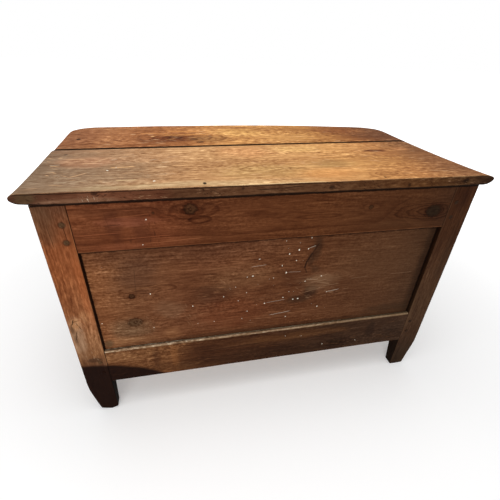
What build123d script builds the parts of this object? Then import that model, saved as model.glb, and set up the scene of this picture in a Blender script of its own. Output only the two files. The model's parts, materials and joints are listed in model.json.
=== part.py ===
from build123d import *
import os
from collections import namedtuple
from math import hypot

# A framed pine chest with a lift-up lid. Four corner posts run down to the floor as
# tapered feet. Pegged mortise and tenon rails join them, and each side holds a loose
# panel in a groove. The floor is shiplap boards on two ledgers, a partition stands in
# slots between cleats, and the two-board lid hangs on a pair of iron T hinges.
#
# Frame: X runs left to right, Y front to back, Z up. The origin is on the floor, under
# the middle of the lid's outline. All sizes are in millimetres.

os.makedirs("parts", exist_ok=True)

# ---------------------------------------------------------------- case
case_width = 1056.0  # over the posts, left to right
case_depth = 526.0  # over the posts, front to back
case_height = 675.0  # floor to the top of the posts and top rails
foot_height = 123.0  # floor to the underside of the bottom rails

# ---------------------------------------------------------------- corner posts
post_width = 67.0  # seen from the front
post_depth = 45.0  # seen from the side
post_arris = 2.5  # eased outer corner
foot_taper_height = 104.0  # where the foot starts to narrow, above the floor
foot_side_taper = 20.0  # what the foot loses on its outer side
foot_inner_taper = 16.0  # what the foot loses on the side that faces the other end
foot_ease = 18.0  # how far the start of a taper is rounded, up and down

# ---------------------------------------------------------------- rails and their joints
top_rail_height = 119.0
bottom_rail_height = 119.0
rail_thickness = 26.0
dust_chamfer = 3.5  # along the upper front arris of a bottom rail
rail_arris = 1.5  # along the lower front arris of a top rail
tenon_thickness = 9.0
long_tenon_length = 40.0  # front and rear rails, into the post's width
short_tenon_length = 24.0  # side rails, into the post's depth
top_shoulder = 30.0  # above the tenon of a top rail
bottom_shoulder = 14.0  # below the tenon of a bottom rail
joint_play = 0.15  # round a tenon in its mortise
mortise_end_gap = 2.0

# ---------------------------------------------------------------- pegs through the joints
peg_radius = 6.0  # front and rear
side_peg_radius = 5.0
peg_inset = 16.0  # from the shoulder of the joint to the peg
side_peg_inset = 12.0
peg_spacing = 43.0  # between the two pegs of a joint
peg_length = 38.0
side_peg_length = 30.0
peg_stand = 1.2  # how far a peg stands out of the post
peg_play = 0.1
peg_sides = 8  # a whittled peg is eight-sided

# ---------------------------------------------------------------- panels
panel_thickness = 14.0
panel_recess = 10.0  # from the face of the frame to the face of the panel
panel_bevel = 38.0  # width of the bevel on the inner side
groove_width = 8.0
groove_depth = 12.0
panel_play = 0.2  # between the panel's tongue and each cheek of the groove
panel_room = 1.6  # between the panel's edge and the bottom of the groove
rear_board_lap = 10.0  # half-lap between the two boards of the rear panel

# ---------------------------------------------------------------- floor of the chest
ledger_height = 28.0
ledger_width = 22.0
ledger_rise = 8.0  # from the underside of the rail to the ledger
floor_thickness = 16.0
floor_board_count = 6
floor_lap = 8.0
floor_board_gap = 1.0  # open joint between boards
floor_edge_gap = 1.0  # round the floor

# ---------------------------------------------------------------- partition and its cleats
partition_board_count = 4  # floor boards to the left of the partition
partition_thickness = 14.0
partition_drop = 42.0  # from the top of the case to the top of the partition
partition_seam_height = 230.0  # height of the partition's lower board
partition_play = 0.5
cleat_width = 16.0
cleat_thickness = 18.0

# ---------------------------------------------------------------- lid
lid_thickness = 28.0
lid_front_overhang = 8.0
lid_rear_overhang = 36.0  # in the middle of the bowed rear edge
lid_rear_bow = 24.0  # how much less the rear edge stands out at its ends
lid_side_overhang = 28.0
lid_gap = 0.4  # between the case and the closed lid
lid_end_skew = 28.0  # the right end is cut this much out of square
lid_left_corner = 45.0  # rounding of the rear corners, seen from above
lid_right_corner = 90.0
lid_end_round = 12.0  # worn round over the two ends
lid_edge_round = 2.5  # along the front edge
seam_left = 295.0  # width of the front board at its left end
seam_right = 333.0  # and at its right end
seam_gap = 5.0
rear_board_step = 4.0  # the rear board is this much shorter at the left
batten_width = 50.0
batten_thickness = 22.0
batten_side_clearance = 7.0  # from the posts to the end battens
batten_end_clearance = 14.0  # from the front and rear rails
batten_chamfer = 6.0

# ---------------------------------------------------------------- hinges
hinge_place = 300.0  # from the middle of the lid to each hinge
iron_thickness = 3.0
knuckle_radius = 6.0
hinge_pin_radius = 2.5
hinge_pin_play = 0.08
knuckle_gap = 0.4  # between knuckles, and from knuckle to wood
strap_reach = 60.0  # past the joint between the lid boards, where that is nearest the front
strap_root_width = 32.0
strap_tip_width = 15.0
strap_disc_radius = 16.0
plate_width = 66.0
plate_height = 72.0
pin_head_radius = 4.4
pin_head_sides = 8  # hammered over
pin_head_length = 2.0
gain_play = 0.5  # round the strap where it crosses the rear rail

# ---------------------------------------------------------------- nails
nail_width = 3.2
nail_head_width = 8.0
nail_head_height = 1.2
rose_head_width = 9.5
rose_head_height = 2.2
nail_play = 0.1
floor_nail_length = 36.0
ledger_nail_length = 40.0
cleat_nail_length = 34.0
batten_nail_length = 38.0
strap_nail_length = 18.0
plate_nail_length = 22.0
floor_nail_clearance = 5.0  # from a cleat to the head of a floor nail
seam_nail_inset = 34.0  # from the joint between the lid boards, in battens and straps
batten_nail_inset = 34.0  # from the ends of a batten
ledger_nail_count = 4
plate_nail_inset = 13.0  # from the edges of the hinge plate

overrun = 1.0  # how far a cutting shape runs past what it cuts

# ---------------------------------------------------------------- places worked out from these
x_side = case_width / 2
y_front = (lid_front_overhang - lid_rear_overhang - case_depth) / 2
y_rear = y_front + case_depth
y_middle = (y_front + y_rear) / 2
bottom_rail_top = foot_height + bottom_rail_height
top_rail_foot = case_height - top_rail_height
tenon_face = panel_recess + (groove_width - tenon_thickness) / 2
tongue_thickness = groove_width - 2 * panel_play
floor_under = foot_height + ledger_rise + ledger_height
floor_top = floor_under + floor_thickness
lid_under = case_height + lid_gap
lid_top = lid_under + lid_thickness
hinge_y = y_rear + knuckle_radius + knuckle_gap
hinge_z = lid_under - knuckle_radius - knuckle_gap
strap_tip_y = y_front - lid_front_overhang + seam_left - strap_reach
batten_end_front = y_front + rail_thickness + batten_end_clearance
batten_end_rear = y_rear - rail_thickness - batten_end_clearance

# A framed side is drawn in its own frame and then placed: X along it, Y from its face
# towards the inside of the chest, Z up.
Side = namedtuple("Side", "name place span tenon_length peg_radius peg_inset peg_length")
long_span = case_width - 2 * post_width
short_span = case_depth - 2 * post_depth
long_peg = (peg_radius, peg_inset, peg_length)
short_peg = (side_peg_radius, side_peg_inset, side_peg_length)
front = Side("front", Location((0, y_front, 0)), long_span, long_tenon_length, *long_peg)
rear = Side("rear", Location((0, y_rear, 0), (0, 0, 180)), long_span, long_tenon_length, *long_peg)
right = Side(
    "right", Location((x_side, y_middle, 0), (0, 0, 90)), short_span, short_tenon_length, *short_peg
)
left = Side(
    "left", Location((-x_side, y_middle, 0), (0, 0, -90)), short_span, short_tenon_length, *short_peg
)

# The two levels of rail, with the height of their tenons and of their panel grooves.
Level = namedtuple("Level", "low high tenon_low tenon_high groove_low groove_high")
top_level = Level(
    top_rail_foot,
    case_height,
    top_rail_foot + groove_depth,
    case_height - top_shoulder,
    top_rail_foot,
    top_rail_foot + groove_depth,
)
bottom_level = Level(
    foot_height,
    bottom_rail_top,
    foot_height + bottom_shoulder,
    bottom_rail_top - groove_depth,
    bottom_rail_top - groove_depth,
    bottom_rail_top,
)

pieces = {}


def block(x0, x1, y0, y1, z0, z1):
    """A box between two corners."""
    return Pos((x0 + x1) / 2, (y0 + y1) / 2, (z0 + z1) / 2) * Box(x1 - x0, y1 - y0, z1 - z0)


def prism(points, plane, length):
    """A closed outline drawn on a plane and pushed along the plane's normal."""
    return extrude(plane * make_face(Polyline(*points, close=True)), amount=length)


def fuse(shapes):
    """Several shapes as one."""
    whole = shapes[0]
    for shape in shapes[1:]:
        whole = whole + shape
    return whole


# ---------------------------------------------------------------- nails and pegs


def cut_nail(length, head_width=nail_head_width, head_height=nail_head_height):
    """A square cut nail driven along -Z, with a flat head that stands on the plane Z = 0."""
    shank = Pos(0, 0, -length / 2) * Box(nail_width, nail_width, length)
    head = Pos(0, 0, head_height / 2) * Box(head_width, head_width, head_height)
    return shank + head


def rose_nail(length):
    """A wrought nail with a hammered four-sided head that stands on the plane Z = 0."""
    shank = Pos(0, 0, -length / 2) * Box(nail_width, nail_width, length)
    head = extrude(Rectangle(rose_head_width, rose_head_width), amount=rose_head_height, taper=50)
    return shank + head


def nail_hole(length):
    """The hole that a nail leaves, a little wider and longer than its shank."""
    width = nail_width + 2 * nail_play
    return Pos(0, 0, -(length + nail_play) / 2) * Box(width, width, length + nail_play)


def peg_centres(side):
    """Where the pegs of one framed side go: two in each of its four joints."""
    along = side.span / 2 + side.peg_inset
    heights = []
    for level in (top_level, bottom_level):
        middle = (level.tenon_low + level.tenon_high) / 2
        heights += [middle - peg_spacing / 2, middle + peg_spacing / 2]
    return [(x, z) for x in (-along, along) for z in heights]


def peg(side, x, z):
    """An eight-sided peg driven inwards from the face of a post, with its head eased."""
    start = Plane(origin=(x, -peg_stand, z), x_dir=(1, 0, 0), z_dir=(0, 1, 0))
    body = extrude(
        start * RegularPolygon(side.peg_radius, peg_sides), amount=peg_stand + side.peg_length
    )
    return chamfer(body.faces().sort_by(Axis.Y)[0].edges(), peg_stand)


def peg_hole(side, x, z):
    """The hole that a peg is driven into, which takes the peg's eight sides."""
    start = Plane(origin=(x, -overrun, z), x_dir=(1, 0, 0), z_dir=(0, 1, 0))
    outline = RegularPolygon(side.peg_radius + peg_play, peg_sides)
    return extrude(start * outline, amount=overrun + side.peg_length + peg_play)


# ---------------------------------------------------------------- framed sides


def rail(side, level):
    """A rail with a shouldered tenon at each end, a groove for the panel in the edge that
    faces the opening, and holes through its tenons for the pegs."""
    half = side.span / 2
    body = block(-half, half, 0, rail_thickness, level.low, level.high)
    along = body.edges().filter_by(Axis.X)
    if level is bottom_level:
        body = chamfer(along.group_by(Axis.Z)[-1].sort_by(Axis.Y)[0], dust_chamfer)
    else:
        body = chamfer(along.group_by(Axis.Z)[0].sort_by(Axis.Y)[0], rail_arris)
    reach = half + side.tenon_length
    tenons = block(
        -reach, reach, tenon_face, tenon_face + tenon_thickness, level.tenon_low, level.tenon_high
    )
    groove = block(
        -half, half, panel_recess, panel_recess + groove_width, level.groove_low, level.groove_high
    )
    holes = [
        peg_hole(side, x, z) for x, z in peg_centres(side) if level.low < z < level.high
    ]
    return body - groove + tenons - fuse(holes)


def mortise(side, level):
    """The pocket for the tenon at a side's right-hand end."""
    start = side.span / 2
    return block(
        start,
        start + side.tenon_length + mortise_end_gap,
        tenon_face - joint_play,
        tenon_face + tenon_thickness + joint_play,
        level.tenon_low - joint_play,
        level.tenon_high + joint_play,
    )


def post_groove(side):
    """The groove for the panel in the post at a side's right-hand end."""
    start = side.span / 2
    return block(
        start,
        start + groove_depth,
        panel_recess,
        panel_recess + groove_width,
        bottom_level.groove_low,
        top_level.groove_high,
    )


def joint_cuts(side, end):
    """All that a framed side cuts out of the post at one end: end is 1 for its right-hand
    end and -1 for its left-hand end."""
    cuts = [mortise(side, top_level), mortise(side, bottom_level), post_groove(side)]
    cuts += [peg_hole(side, x, z) for x, z in peg_centres(side) if x > 0]
    cutter = fuse(cuts)
    if end < 0:
        cutter = mirror(cutter, about=Plane.YZ)
    return side.place * cutter


def foot_wedge(edge, taper):
    """The outline of what is cut off a foot, seen along the edge that it narrows from. An
    arc leads from the side of the post into the taper."""
    slope = hypot(taper, foot_taper_height)
    start = (edge, foot_taper_height + foot_ease)
    meets = (
        edge - taper * foot_ease / slope,
        foot_taper_height - foot_taper_height * foot_ease / slope,
    )
    rest = [
        meets,
        (edge - taper, 0),
        (edge - taper, -overrun),
        (edge + overrun, -overrun),
        (edge + overrun, start[1]),
        start,
    ]
    return make_face([TangentArc(start, meets, tangent=(0, -1)), Polyline(*rest)])


def front_right_post():
    """A corner post with the mortises, grooves and peg holes of the two sides that meet in
    it, and a foot that narrows on its outer side and towards the rear."""
    x0, x1 = x_side - post_width, x_side
    y0, y1 = y_front, y_front + post_depth
    post = block(x0, x1, y0, y1, 0, case_height)
    outer = post.edges().filter_by(Axis.Z).sort_by(Axis.Y)[:2].sort_by(Axis.X)[-1]
    post = fillet(outer, post_arris)
    across = Plane(origin=(0, y1 + overrun, 0), x_dir=(1, 0, 0), z_dir=(0, -1, 0))
    side_wedge = extrude(across * foot_wedge(x1, foot_side_taper), amount=post_depth + 2 * overrun)
    along = Plane(origin=(x0 - overrun, 0, 0), x_dir=(0, 1, 0), z_dir=(1, 0, 0))
    inner_wedge = extrude(along * foot_wedge(y1, foot_inner_taper), amount=post_width + 2 * overrun)
    return post - side_wedge - inner_wedge - joint_cuts(front, 1) - joint_cuts(right, -1)


def fielded_panel(side):
    """A panel with a flat face and an inner side bevelled down to a tongue on all four
    edges: the part that two bevelled outlines share, one pushed up and one along."""
    tongue = groove_depth - panel_room
    reach = side.span / 2 + tongue
    low = bottom_level.groove_low + panel_room
    high = top_level.groove_high - panel_room
    face = panel_recess + panel_play
    back = face + panel_thickness
    shoulder = face + tongue_thickness
    seen_from_above = [
        (-reach, face),
        (reach, face),
        (reach, shoulder),
        (reach - tongue, shoulder),
        (reach - tongue - panel_bevel, back),
        (-reach + tongue + panel_bevel, back),
        (-reach + tongue, shoulder),
        (-reach, shoulder),
    ]
    seen_from_the_end = [
        (face, low),
        (face, high),
        (shoulder, high),
        (shoulder, high - tongue),
        (back, high - tongue - panel_bevel),
        (back, low + tongue + panel_bevel),
        (shoulder, low + tongue),
        (shoulder, low),
    ]
    upright = prism(seen_from_above, Plane(origin=(0, 0, low)), high - low)
    along = prism(
        seen_from_the_end,
        Plane(origin=(-reach, 0, 0), x_dir=(0, 1, 0), z_dir=(1, 0, 0)),
        2 * reach,
    )
    return upright & along


def lapped_halves(panel):
    """A panel made of two boards, an upper and a lower one, half-lapped where they meet."""
    box = panel.bounding_box()
    seam = (box.min.Z + box.max.Z) / 2
    face = panel_recess + panel_play
    half = face + panel_thickness / 2
    plane = Plane(origin=(box.min.X - overrun, 0, 0), x_dir=(0, 1, 0), z_dir=(1, 0, 0))
    length = box.size.X + 2 * overrun
    behind = face + panel_thickness + overrun
    above = [
        (face - overrun, seam),
        (half, seam),
        (half, seam - rear_board_lap),
        (behind, seam - rear_board_lap),
        (behind, box.max.Z + overrun),
        (face - overrun, box.max.Z + overrun),
    ]
    upper = panel & prism(above, plane, length)
    cleared = [(y, z - panel_play) for y, z in above]
    cleared[1] = (half - panel_play, seam - panel_play)
    cleared[2] = (half - panel_play, seam - rear_board_lap - panel_play)
    lower = panel - prism(cleared, plane, length)
    return upper, lower


# ---------------------------------------------------------------- floor, ledgers and partition


def ledger(side):
    """A strip along the foot of a long rail that carries the ends of the floor boards."""
    half = side.span / 2 - floor_edge_gap
    return block(
        -half,
        half,
        rail_thickness,
        rail_thickness + ledger_width,
        foot_height + ledger_rise,
        floor_under,
    )


def ledger_nail_places(side):
    """Nails through a ledger into its rail, driven outwards from the inside."""
    pitch = side.span / ledger_nail_count
    height = foot_height + ledger_rise + ledger_height / 2
    spots = []
    for i in range(ledger_nail_count):
        x = (i - (ledger_nail_count - 1) / 2) * pitch
        spots.append(Location((x, rail_thickness + ledger_width, height), (-90, 0, 0)))
    return [side.place * spot for spot in spots]


floor_x0 = -x_side + rail_thickness + floor_edge_gap
floor_x1 = x_side - rail_thickness - floor_edge_gap
floor_pitch = (floor_x1 - floor_x0) / floor_board_count
slot = partition_thickness / 2 + partition_play
floor_nail_inset = slot + cleat_width + floor_nail_clearance + nail_head_width / 2


def post_blocks():
    """The room that the four posts take at floor level, with a gap round it."""
    blocks = []
    for sx in (-1, 1):
        for y0, y1 in ((y_front, y_front + post_depth), (y_rear - post_depth, y_rear)):
            xs = sorted((sx * (x_side - post_width), sx * x_side))
            blocks.append(
                block(
                    xs[0] - floor_edge_gap,
                    xs[1] + floor_edge_gap,
                    y0 - floor_edge_gap,
                    y1 + floor_edge_gap,
                    0,
                    case_height,
                )
            )
    return fuse(blocks)


def floor_board(i):
    """A floor board that runs front to back. Its right edge laps under the next board, and
    the end boards are notched round the posts."""
    last = i == floor_board_count - 1
    x0 = floor_x0 + i * floor_pitch
    x1 = x0 + floor_pitch - (0 if last else floor_board_gap)
    y0 = y_front + rail_thickness + floor_edge_gap
    y1 = y_rear - rail_thickness - floor_edge_gap
    middle = floor_under + floor_thickness / 2
    board = block(x0, x1, y0, y1, floor_under, floor_top)
    if i > 0:
        board -= block(x0, x0 + floor_lap, y0, y1, floor_under, middle)
    if not last:
        board += block(x1, x1 + floor_lap, y0, y1, floor_under, middle - panel_play)
    return board - post_blocks()


def floor_nail_places():
    """Two nails at each end of every floor board, into the ledgers."""
    spots = []
    for i in range(floor_board_count):
        x0 = floor_x0 + i * floor_pitch
        x1 = x0 + floor_pitch
        near = x0 + (floor_nail_inset if i > 0 else post_width)
        far = x1 - (floor_nail_inset if i < floor_board_count - 1 else post_width)
        for x in (near, far):
            for y in (
                y_front + rail_thickness + ledger_width / 2,
                y_rear - rail_thickness - ledger_width / 2,
            ):
                spots.append(Location((x, y, floor_top)))
    return spots


partition_place = floor_x0 + partition_board_count * floor_pitch
partition_top = case_height - partition_drop


def cleat(side_name, hand):
    """One of the four upright strips that hold the partition: hand is -1 for the strip on
    its left and 1 for the one on its right."""
    near = partition_place + hand * slot
    far = near + hand * cleat_width
    if side_name == "front":
        y0 = y_front + rail_thickness
        y1 = y0 + cleat_thickness
    else:
        y1 = y_rear - rail_thickness
        y0 = y1 - cleat_thickness
    return block(min(near, far), max(near, far), y0, y1, floor_top, partition_top)


def cleat_nail_places(side_name, hand):
    """Nails through a cleat into the top rail and the bottom rail."""
    x = partition_place + hand * (slot + cleat_width / 2)
    heights = (
        (floor_top + bottom_rail_top) / 2,
        (top_rail_foot + partition_top) / 2,
    )
    if side_name == "front":
        return [Location((x, y_front + rail_thickness + cleat_thickness, z), (-90, 0, 0)) for z in heights]
    return [Location((x, y_rear - rail_thickness - cleat_thickness, z), (90, 0, 0)) for z in heights]


def partition_board(low, high):
    """A board of the partition, held at both ends between cleats."""
    return block(
        partition_place - partition_thickness / 2,
        partition_place + partition_thickness / 2,
        y_front + rail_thickness + floor_edge_gap,
        y_rear - rail_thickness - floor_edge_gap,
        low,
        high,
    )


# ---------------------------------------------------------------- lid

lid_x = x_side + lid_side_overhang
lid_y0 = y_front - lid_front_overhang
lid_y1 = y_rear + lid_rear_overhang


def lid_right_edge(y):
    """Where the lid's right end is at a given depth: it is cut a little out of square."""
    return lid_x - lid_end_skew * (y - lid_y0) / (lid_y1 - lid_y0)


def lid_slab(corners):
    """A lid board pushed up from its four corners seen from above, with its worn round
    ends."""
    board = prism(corners, Plane(origin=(0, 0, lid_under)), lid_thickness)
    flat = board.edges().filter_by(Plane.XY)
    ends = [edge for edge in flat if abs((edge % 0.5).Y) > abs((edge % 0.5).X)]
    return fillet(ends, lid_end_round)


def lid_front_board():
    """The front board of the lid, wider at its right end, with square corners. Its front
    edge is rounded, as it is in a strip that shares the board's front."""
    y_left = lid_y0 + seam_left - seam_gap / 2
    y_right = lid_y0 + seam_right - seam_gap / 2
    corners = [
        (-lid_x, lid_y0),
        (lid_x, lid_y0),
        (lid_right_edge(y_right), y_right),
        (-lid_x, y_left),
    ]
    strip = block(-lid_x - overrun, lid_x + overrun, lid_y0, lid_y1, lid_under, lid_top)
    front_edges = strip.edges().filter_by(Axis.X).group_by(Axis.Y)[0]
    return lid_slab(corners) & fillet(front_edges, lid_edge_round)


def lid_rear_board():
    """The rear board of the lid. Its rear edge bows out in the middle, and its two outer
    corners are rounded."""
    y_left = lid_y0 + seam_left + seam_gap / 2
    y_right = lid_y0 + seam_right + seam_gap / 2
    x_left = -lid_x + rear_board_step
    corners = [
        (x_left, y_left),
        (lid_right_edge(y_right), y_right),
        (lid_right_edge(lid_y1), lid_y1),
        (x_left, lid_y1),
    ]
    y_end = lid_y1 - lid_rear_bow
    left_end, right_end = (x_left, y_end), (lid_right_edge(y_end), y_end)
    sides = Polyline(left_end, corners[0], corners[1], right_end)
    outline = make_face(sides + ThreePointArc(right_end, (0, lid_y1), left_end))
    for corner, radius in ((left_end, lid_left_corner), (right_end, lid_right_corner)):
        outline = fillet(outline.vertices().sort_by_distance(corner)[0], radius)
    return lid_slab(corners) & extrude(Plane(origin=(0, 0, lid_under)) * outline, amount=lid_thickness)


batten_reach = x_side - post_width - batten_side_clearance - batten_width / 2
batten_centres = {"left": -batten_reach, "middle": 0.0, "right": batten_reach}


def batten(x):
    """A cross batten under the lid, inside the case when the lid is shut, with its lower
    ends chamfered so that they clear the rails."""
    strip = block(
        x - batten_width / 2,
        x + batten_width / 2,
        batten_end_front,
        batten_end_rear,
        lid_under - batten_thickness,
        lid_under,
    )
    lower = strip.faces().sort_by(Axis.Z)[0].edges().filter_by(Axis.X)
    return chamfer(lower, batten_chamfer)


def seam_y(x):
    """The middle of the joint between the two lid boards."""
    share = (x + lid_x) / (2 * lid_x)
    return lid_y0 + seam_left + (seam_right - seam_left) * share


def batten_nail_places(x):
    """Four nails up through a batten, two into each lid board."""
    ys = (
        batten_end_front + batten_nail_inset,
        seam_y(x) - seam_nail_inset,
        seam_y(x) + seam_nail_inset,
        batten_end_rear - batten_nail_inset,
    )
    return [Location((x, y, lid_under - batten_thickness), (180, 0, 0)) for y in ys]


# ---------------------------------------------------------------- hinges


def knuckle(x0, x1):
    """A length of hinge barrel with its bore, on the hinge's axis."""
    start = Plane(origin=(x0, hinge_y, hinge_z), x_dir=(0, 1, 0), z_dir=(1, 0, 0))
    tube = Circle(knuckle_radius) - Circle(hinge_pin_radius + hinge_pin_play)
    return extrude(start * tube, amount=x1 - x0)


def bore(x0, x1):
    """The room for the pin through the barrel."""
    start = Plane(origin=(x0, hinge_y, hinge_z), x_dir=(0, 1, 0), z_dir=(1, 0, 0))
    return extrude(start * Circle(hinge_pin_radius + hinge_pin_play), amount=x1 - x0)


def strap_nail_places(x):
    """Four nails up through the strap: near the rear rail, each side of the joint between
    the lid boards, and in the disc."""
    ys = (
        y_rear - rail_thickness - strap_root_width,
        seam_y(x) + seam_nail_inset,
        seam_y(x) - seam_nail_inset,
        strap_tip_y,
    )
    return [Location((x, y, lid_under - iron_thickness), (180, 0, 0)) for y in ys]


def strap(x):
    """The moving leaf: a long tapered strap with a disc at its tip, let into the rear rail
    where it crosses it, and the middle knuckle of the barrel."""
    y_inner = y_rear - rail_thickness
    root = strap_root_width / 2
    tip = strap_tip_width / 2
    outline = [
        (x - root, hinge_y),
        (x - root, y_inner),
        (x - tip, strap_tip_y),
        (x + tip, strap_tip_y),
        (x + root, y_inner),
        (x + root, hinge_y),
    ]
    under = Plane(origin=(0, 0, lid_under - iron_thickness))
    bar = prism(outline, under, iron_thickness)
    disc = extrude(under * Pos(x, strap_tip_y) * Circle(strap_disc_radius), amount=iron_thickness)
    return bar + disc - bore(x - root, x + root) + knuckle(x - root, x + root)


def plate_nail_places(x):
    """Four nails through the fixed plate into the rear rail."""
    spread = plate_width / 2 - plate_nail_inset
    low = hinge_z - plate_height + plate_nail_inset
    high = hinge_z - 2 * plate_nail_inset
    return [
        Location((x + dx, y_rear + iron_thickness, z), (-90, 0, 0))
        for dx in (-spread, spread)
        for z in (low, high)
    ]


def plate(x):
    """The fixed leaf: a plate on the back of the rear rail, with a knuckle on each side of
    the strap's."""
    half = plate_width / 2
    inner = strap_root_width / 2 + knuckle_gap
    leaf = block(x - half, x + half, y_rear, y_rear + iron_thickness, hinge_z - plate_height, hinge_z)
    window = block(
        x - inner,
        x + inner,
        y_rear - overrun,
        y_rear + iron_thickness + overrun,
        hinge_z - knuckle_radius - knuckle_gap,
        hinge_z + overrun,
    )
    knuckles = knuckle(x - half, x - inner) + knuckle(x + inner, x + half)
    return leaf - window - bore(x - half, x + half) + knuckles


def hinge_pin(x):
    """The pin, with a small hammered head at each end of the barrel."""
    half = plate_width / 2
    start = Plane(origin=(x - half - pin_head_length, hinge_y, hinge_z), x_dir=(0, 1, 0), z_dir=(1, 0, 0))
    shaft = extrude(start * Circle(hinge_pin_radius), amount=plate_width + 2 * pin_head_length)
    head = extrude(start * RegularPolygon(pin_head_radius, pin_head_sides), amount=pin_head_length)
    other = Pos(plate_width + pin_head_length, 0, 0) * head
    return shaft + head + other


def strap_gain(x):
    """The shallow housing in the top of the rear rail that the strap crosses in."""
    half = strap_root_width / 2 + gain_play
    return block(
        x - half,
        x + half,
        y_rear - rail_thickness - overrun,
        y_rear + overrun,
        lid_under - iron_thickness - gain_play,
        case_height + overrun,
    )


# ---------------------------------------------------------------- putting the chest together

# Corner posts: one is drawn, and the others are its mirror images.
mid_plane = Plane(origin=(0, y_middle, 0), z_dir=(0, 1, 0))
pieces["front_right_post"] = front_right_post()
pieces["front_left_post"] = mirror(pieces["front_right_post"], about=Plane.YZ)
pieces["rear_right_post"] = mirror(pieces["front_right_post"], about=mid_plane)
pieces["rear_left_post"] = mirror(pieces["rear_right_post"], about=Plane.YZ)

# Framed sides
for side in (front, rear, right, left):
    pieces[f"{side.name}_top_rail"] = side.place * rail(side, top_level)
    pieces[f"{side.name}_bottom_rail"] = side.place * rail(side, bottom_level)
    pieces[f"{side.name}_pegs"] = Compound(
        children=[side.place * peg(side, x, z) for x, z in peg_centres(side)]
    )
for side in (front, right, left):
    pieces[f"{side.name}_panel"] = side.place * fielded_panel(side)
upper_half, lower_half = lapped_halves(fielded_panel(rear))
pieces["rear_panel_upper_board"] = rear.place * upper_half
pieces["rear_panel_lower_board"] = rear.place * lower_half

# Floor
for side in (front, rear):
    pieces[f"{side.name}_ledger"] = side.place * ledger(side)
for i in range(floor_board_count):
    pieces[f"floor_board_{i + 1}"] = floor_board(i)

# Partition
partition_seam = floor_top + partition_seam_height
pieces["partition_lower_board"] = partition_board(floor_top, partition_seam)
pieces["partition_upper_board"] = partition_board(partition_seam, partition_top)
cleat_names = {}
for side_name in ("front", "rear"):
    for hand, word in ((-1, "left"), (1, "right")):
        name = f"{side_name}_cleat_{word}"
        cleat_names[name] = (side_name, hand)
        pieces[name] = cleat(side_name, hand)

# Lid
pieces["lid_front_board"] = lid_front_board()
pieces["lid_rear_board"] = lid_rear_board()
for word, x in batten_centres.items():
    pieces[f"lid_batten_{word}"] = batten(x)

# Hinges
hinge_centres = {"left": -hinge_place, "right": hinge_place}
for word, x in hinge_centres.items():
    pieces[f"hinge_{word}_strap"] = strap(x)
    pieces[f"hinge_{word}_plate"] = plate(x)
    pieces[f"hinge_{word}_pin"] = hinge_pin(x)
    pieces["rear_top_rail"] -= strap_gain(x)


def drive(name, nails, places, length, through):
    """Adds a group of nails as one node and cuts their holes in the pieces they go through."""
    pieces[name] = Compound(children=[place * nails for place in places])
    for piece in through:
        for place in places:
            pieces[piece] -= place * nail_hole(length)


for side in (front, rear):
    drive(
        f"{side.name}_ledger_nails",
        cut_nail(ledger_nail_length),
        ledger_nail_places(side),
        ledger_nail_length,
        [f"{side.name}_ledger", f"{side.name}_bottom_rail"],
    )
floor_names = [f"floor_board_{i + 1}" for i in range(floor_board_count)]
drive(
    "floor_nails",
    cut_nail(floor_nail_length),
    floor_nail_places(),
    floor_nail_length,
    floor_names + ["front_ledger", "rear_ledger"],
)
cleat_places = {name: cleat_nail_places(*where) for name, where in cleat_names.items()}
for name, places in cleat_places.items():
    side_name = cleat_names[name][0]
    for piece in (name, f"{side_name}_top_rail", f"{side_name}_bottom_rail"):
        for place in places:
            pieces[piece] -= place * nail_hole(cleat_nail_length)
pieces["cleat_nails"] = Compound(
    children=[
        place * cut_nail(cleat_nail_length) for places in cleat_places.values() for place in places
    ]
)
batten_places = {word: batten_nail_places(x) for word, x in batten_centres.items()}
for word, places in batten_places.items():
    for piece in (f"lid_batten_{word}", "lid_front_board", "lid_rear_board"):
        for place in places:
            pieces[piece] -= place * nail_hole(batten_nail_length)
pieces["batten_nails"] = Compound(
    children=[
        place * cut_nail(batten_nail_length) for places in batten_places.values() for place in places
    ]
)
for word, x in hinge_centres.items():
    drive(
        f"hinge_{word}_strap_nails",
        rose_nail(strap_nail_length),
        strap_nail_places(x),
        strap_nail_length,
        [f"hinge_{word}_strap", "lid_front_board", "lid_rear_board"],
    )
    drive(
        f"hinge_{word}_plate_nails",
        rose_nail(plate_nail_length),
        plate_nail_places(x),
        plate_nail_length,
        [f"hinge_{word}_plate", "rear_top_rail"],
    )

for name, shape in pieces.items():
    export_step(shape, f"parts/{name}.step")
print(len(pieces), "nodes")
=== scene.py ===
"""A framed chest of old pine, dressed board by board over its solids.

Every board is a swept surface: an outline carried along the board, with arrises worn round
by smooth random heights and faces that rise and fall a little. Every board takes its own
pine: growth rings cut from a heart at a chosen place and pushed aside by knots, under
fibre, scuffs, patches of stain, arrises paler with wear and with a painted highlight, dark
joints and flecks of old paint, and under painted shade and shadow: in the corners of
recesses, under the lid, over the left foot and darkening the front towards the right. The
iron and the pegs keep their solids. Lengths are in metres, X left to right, Y front to
back and Z up.
"""

import json
import zlib

import bpy
import numpy as np
from mathutils import Matrix, Vector


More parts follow.
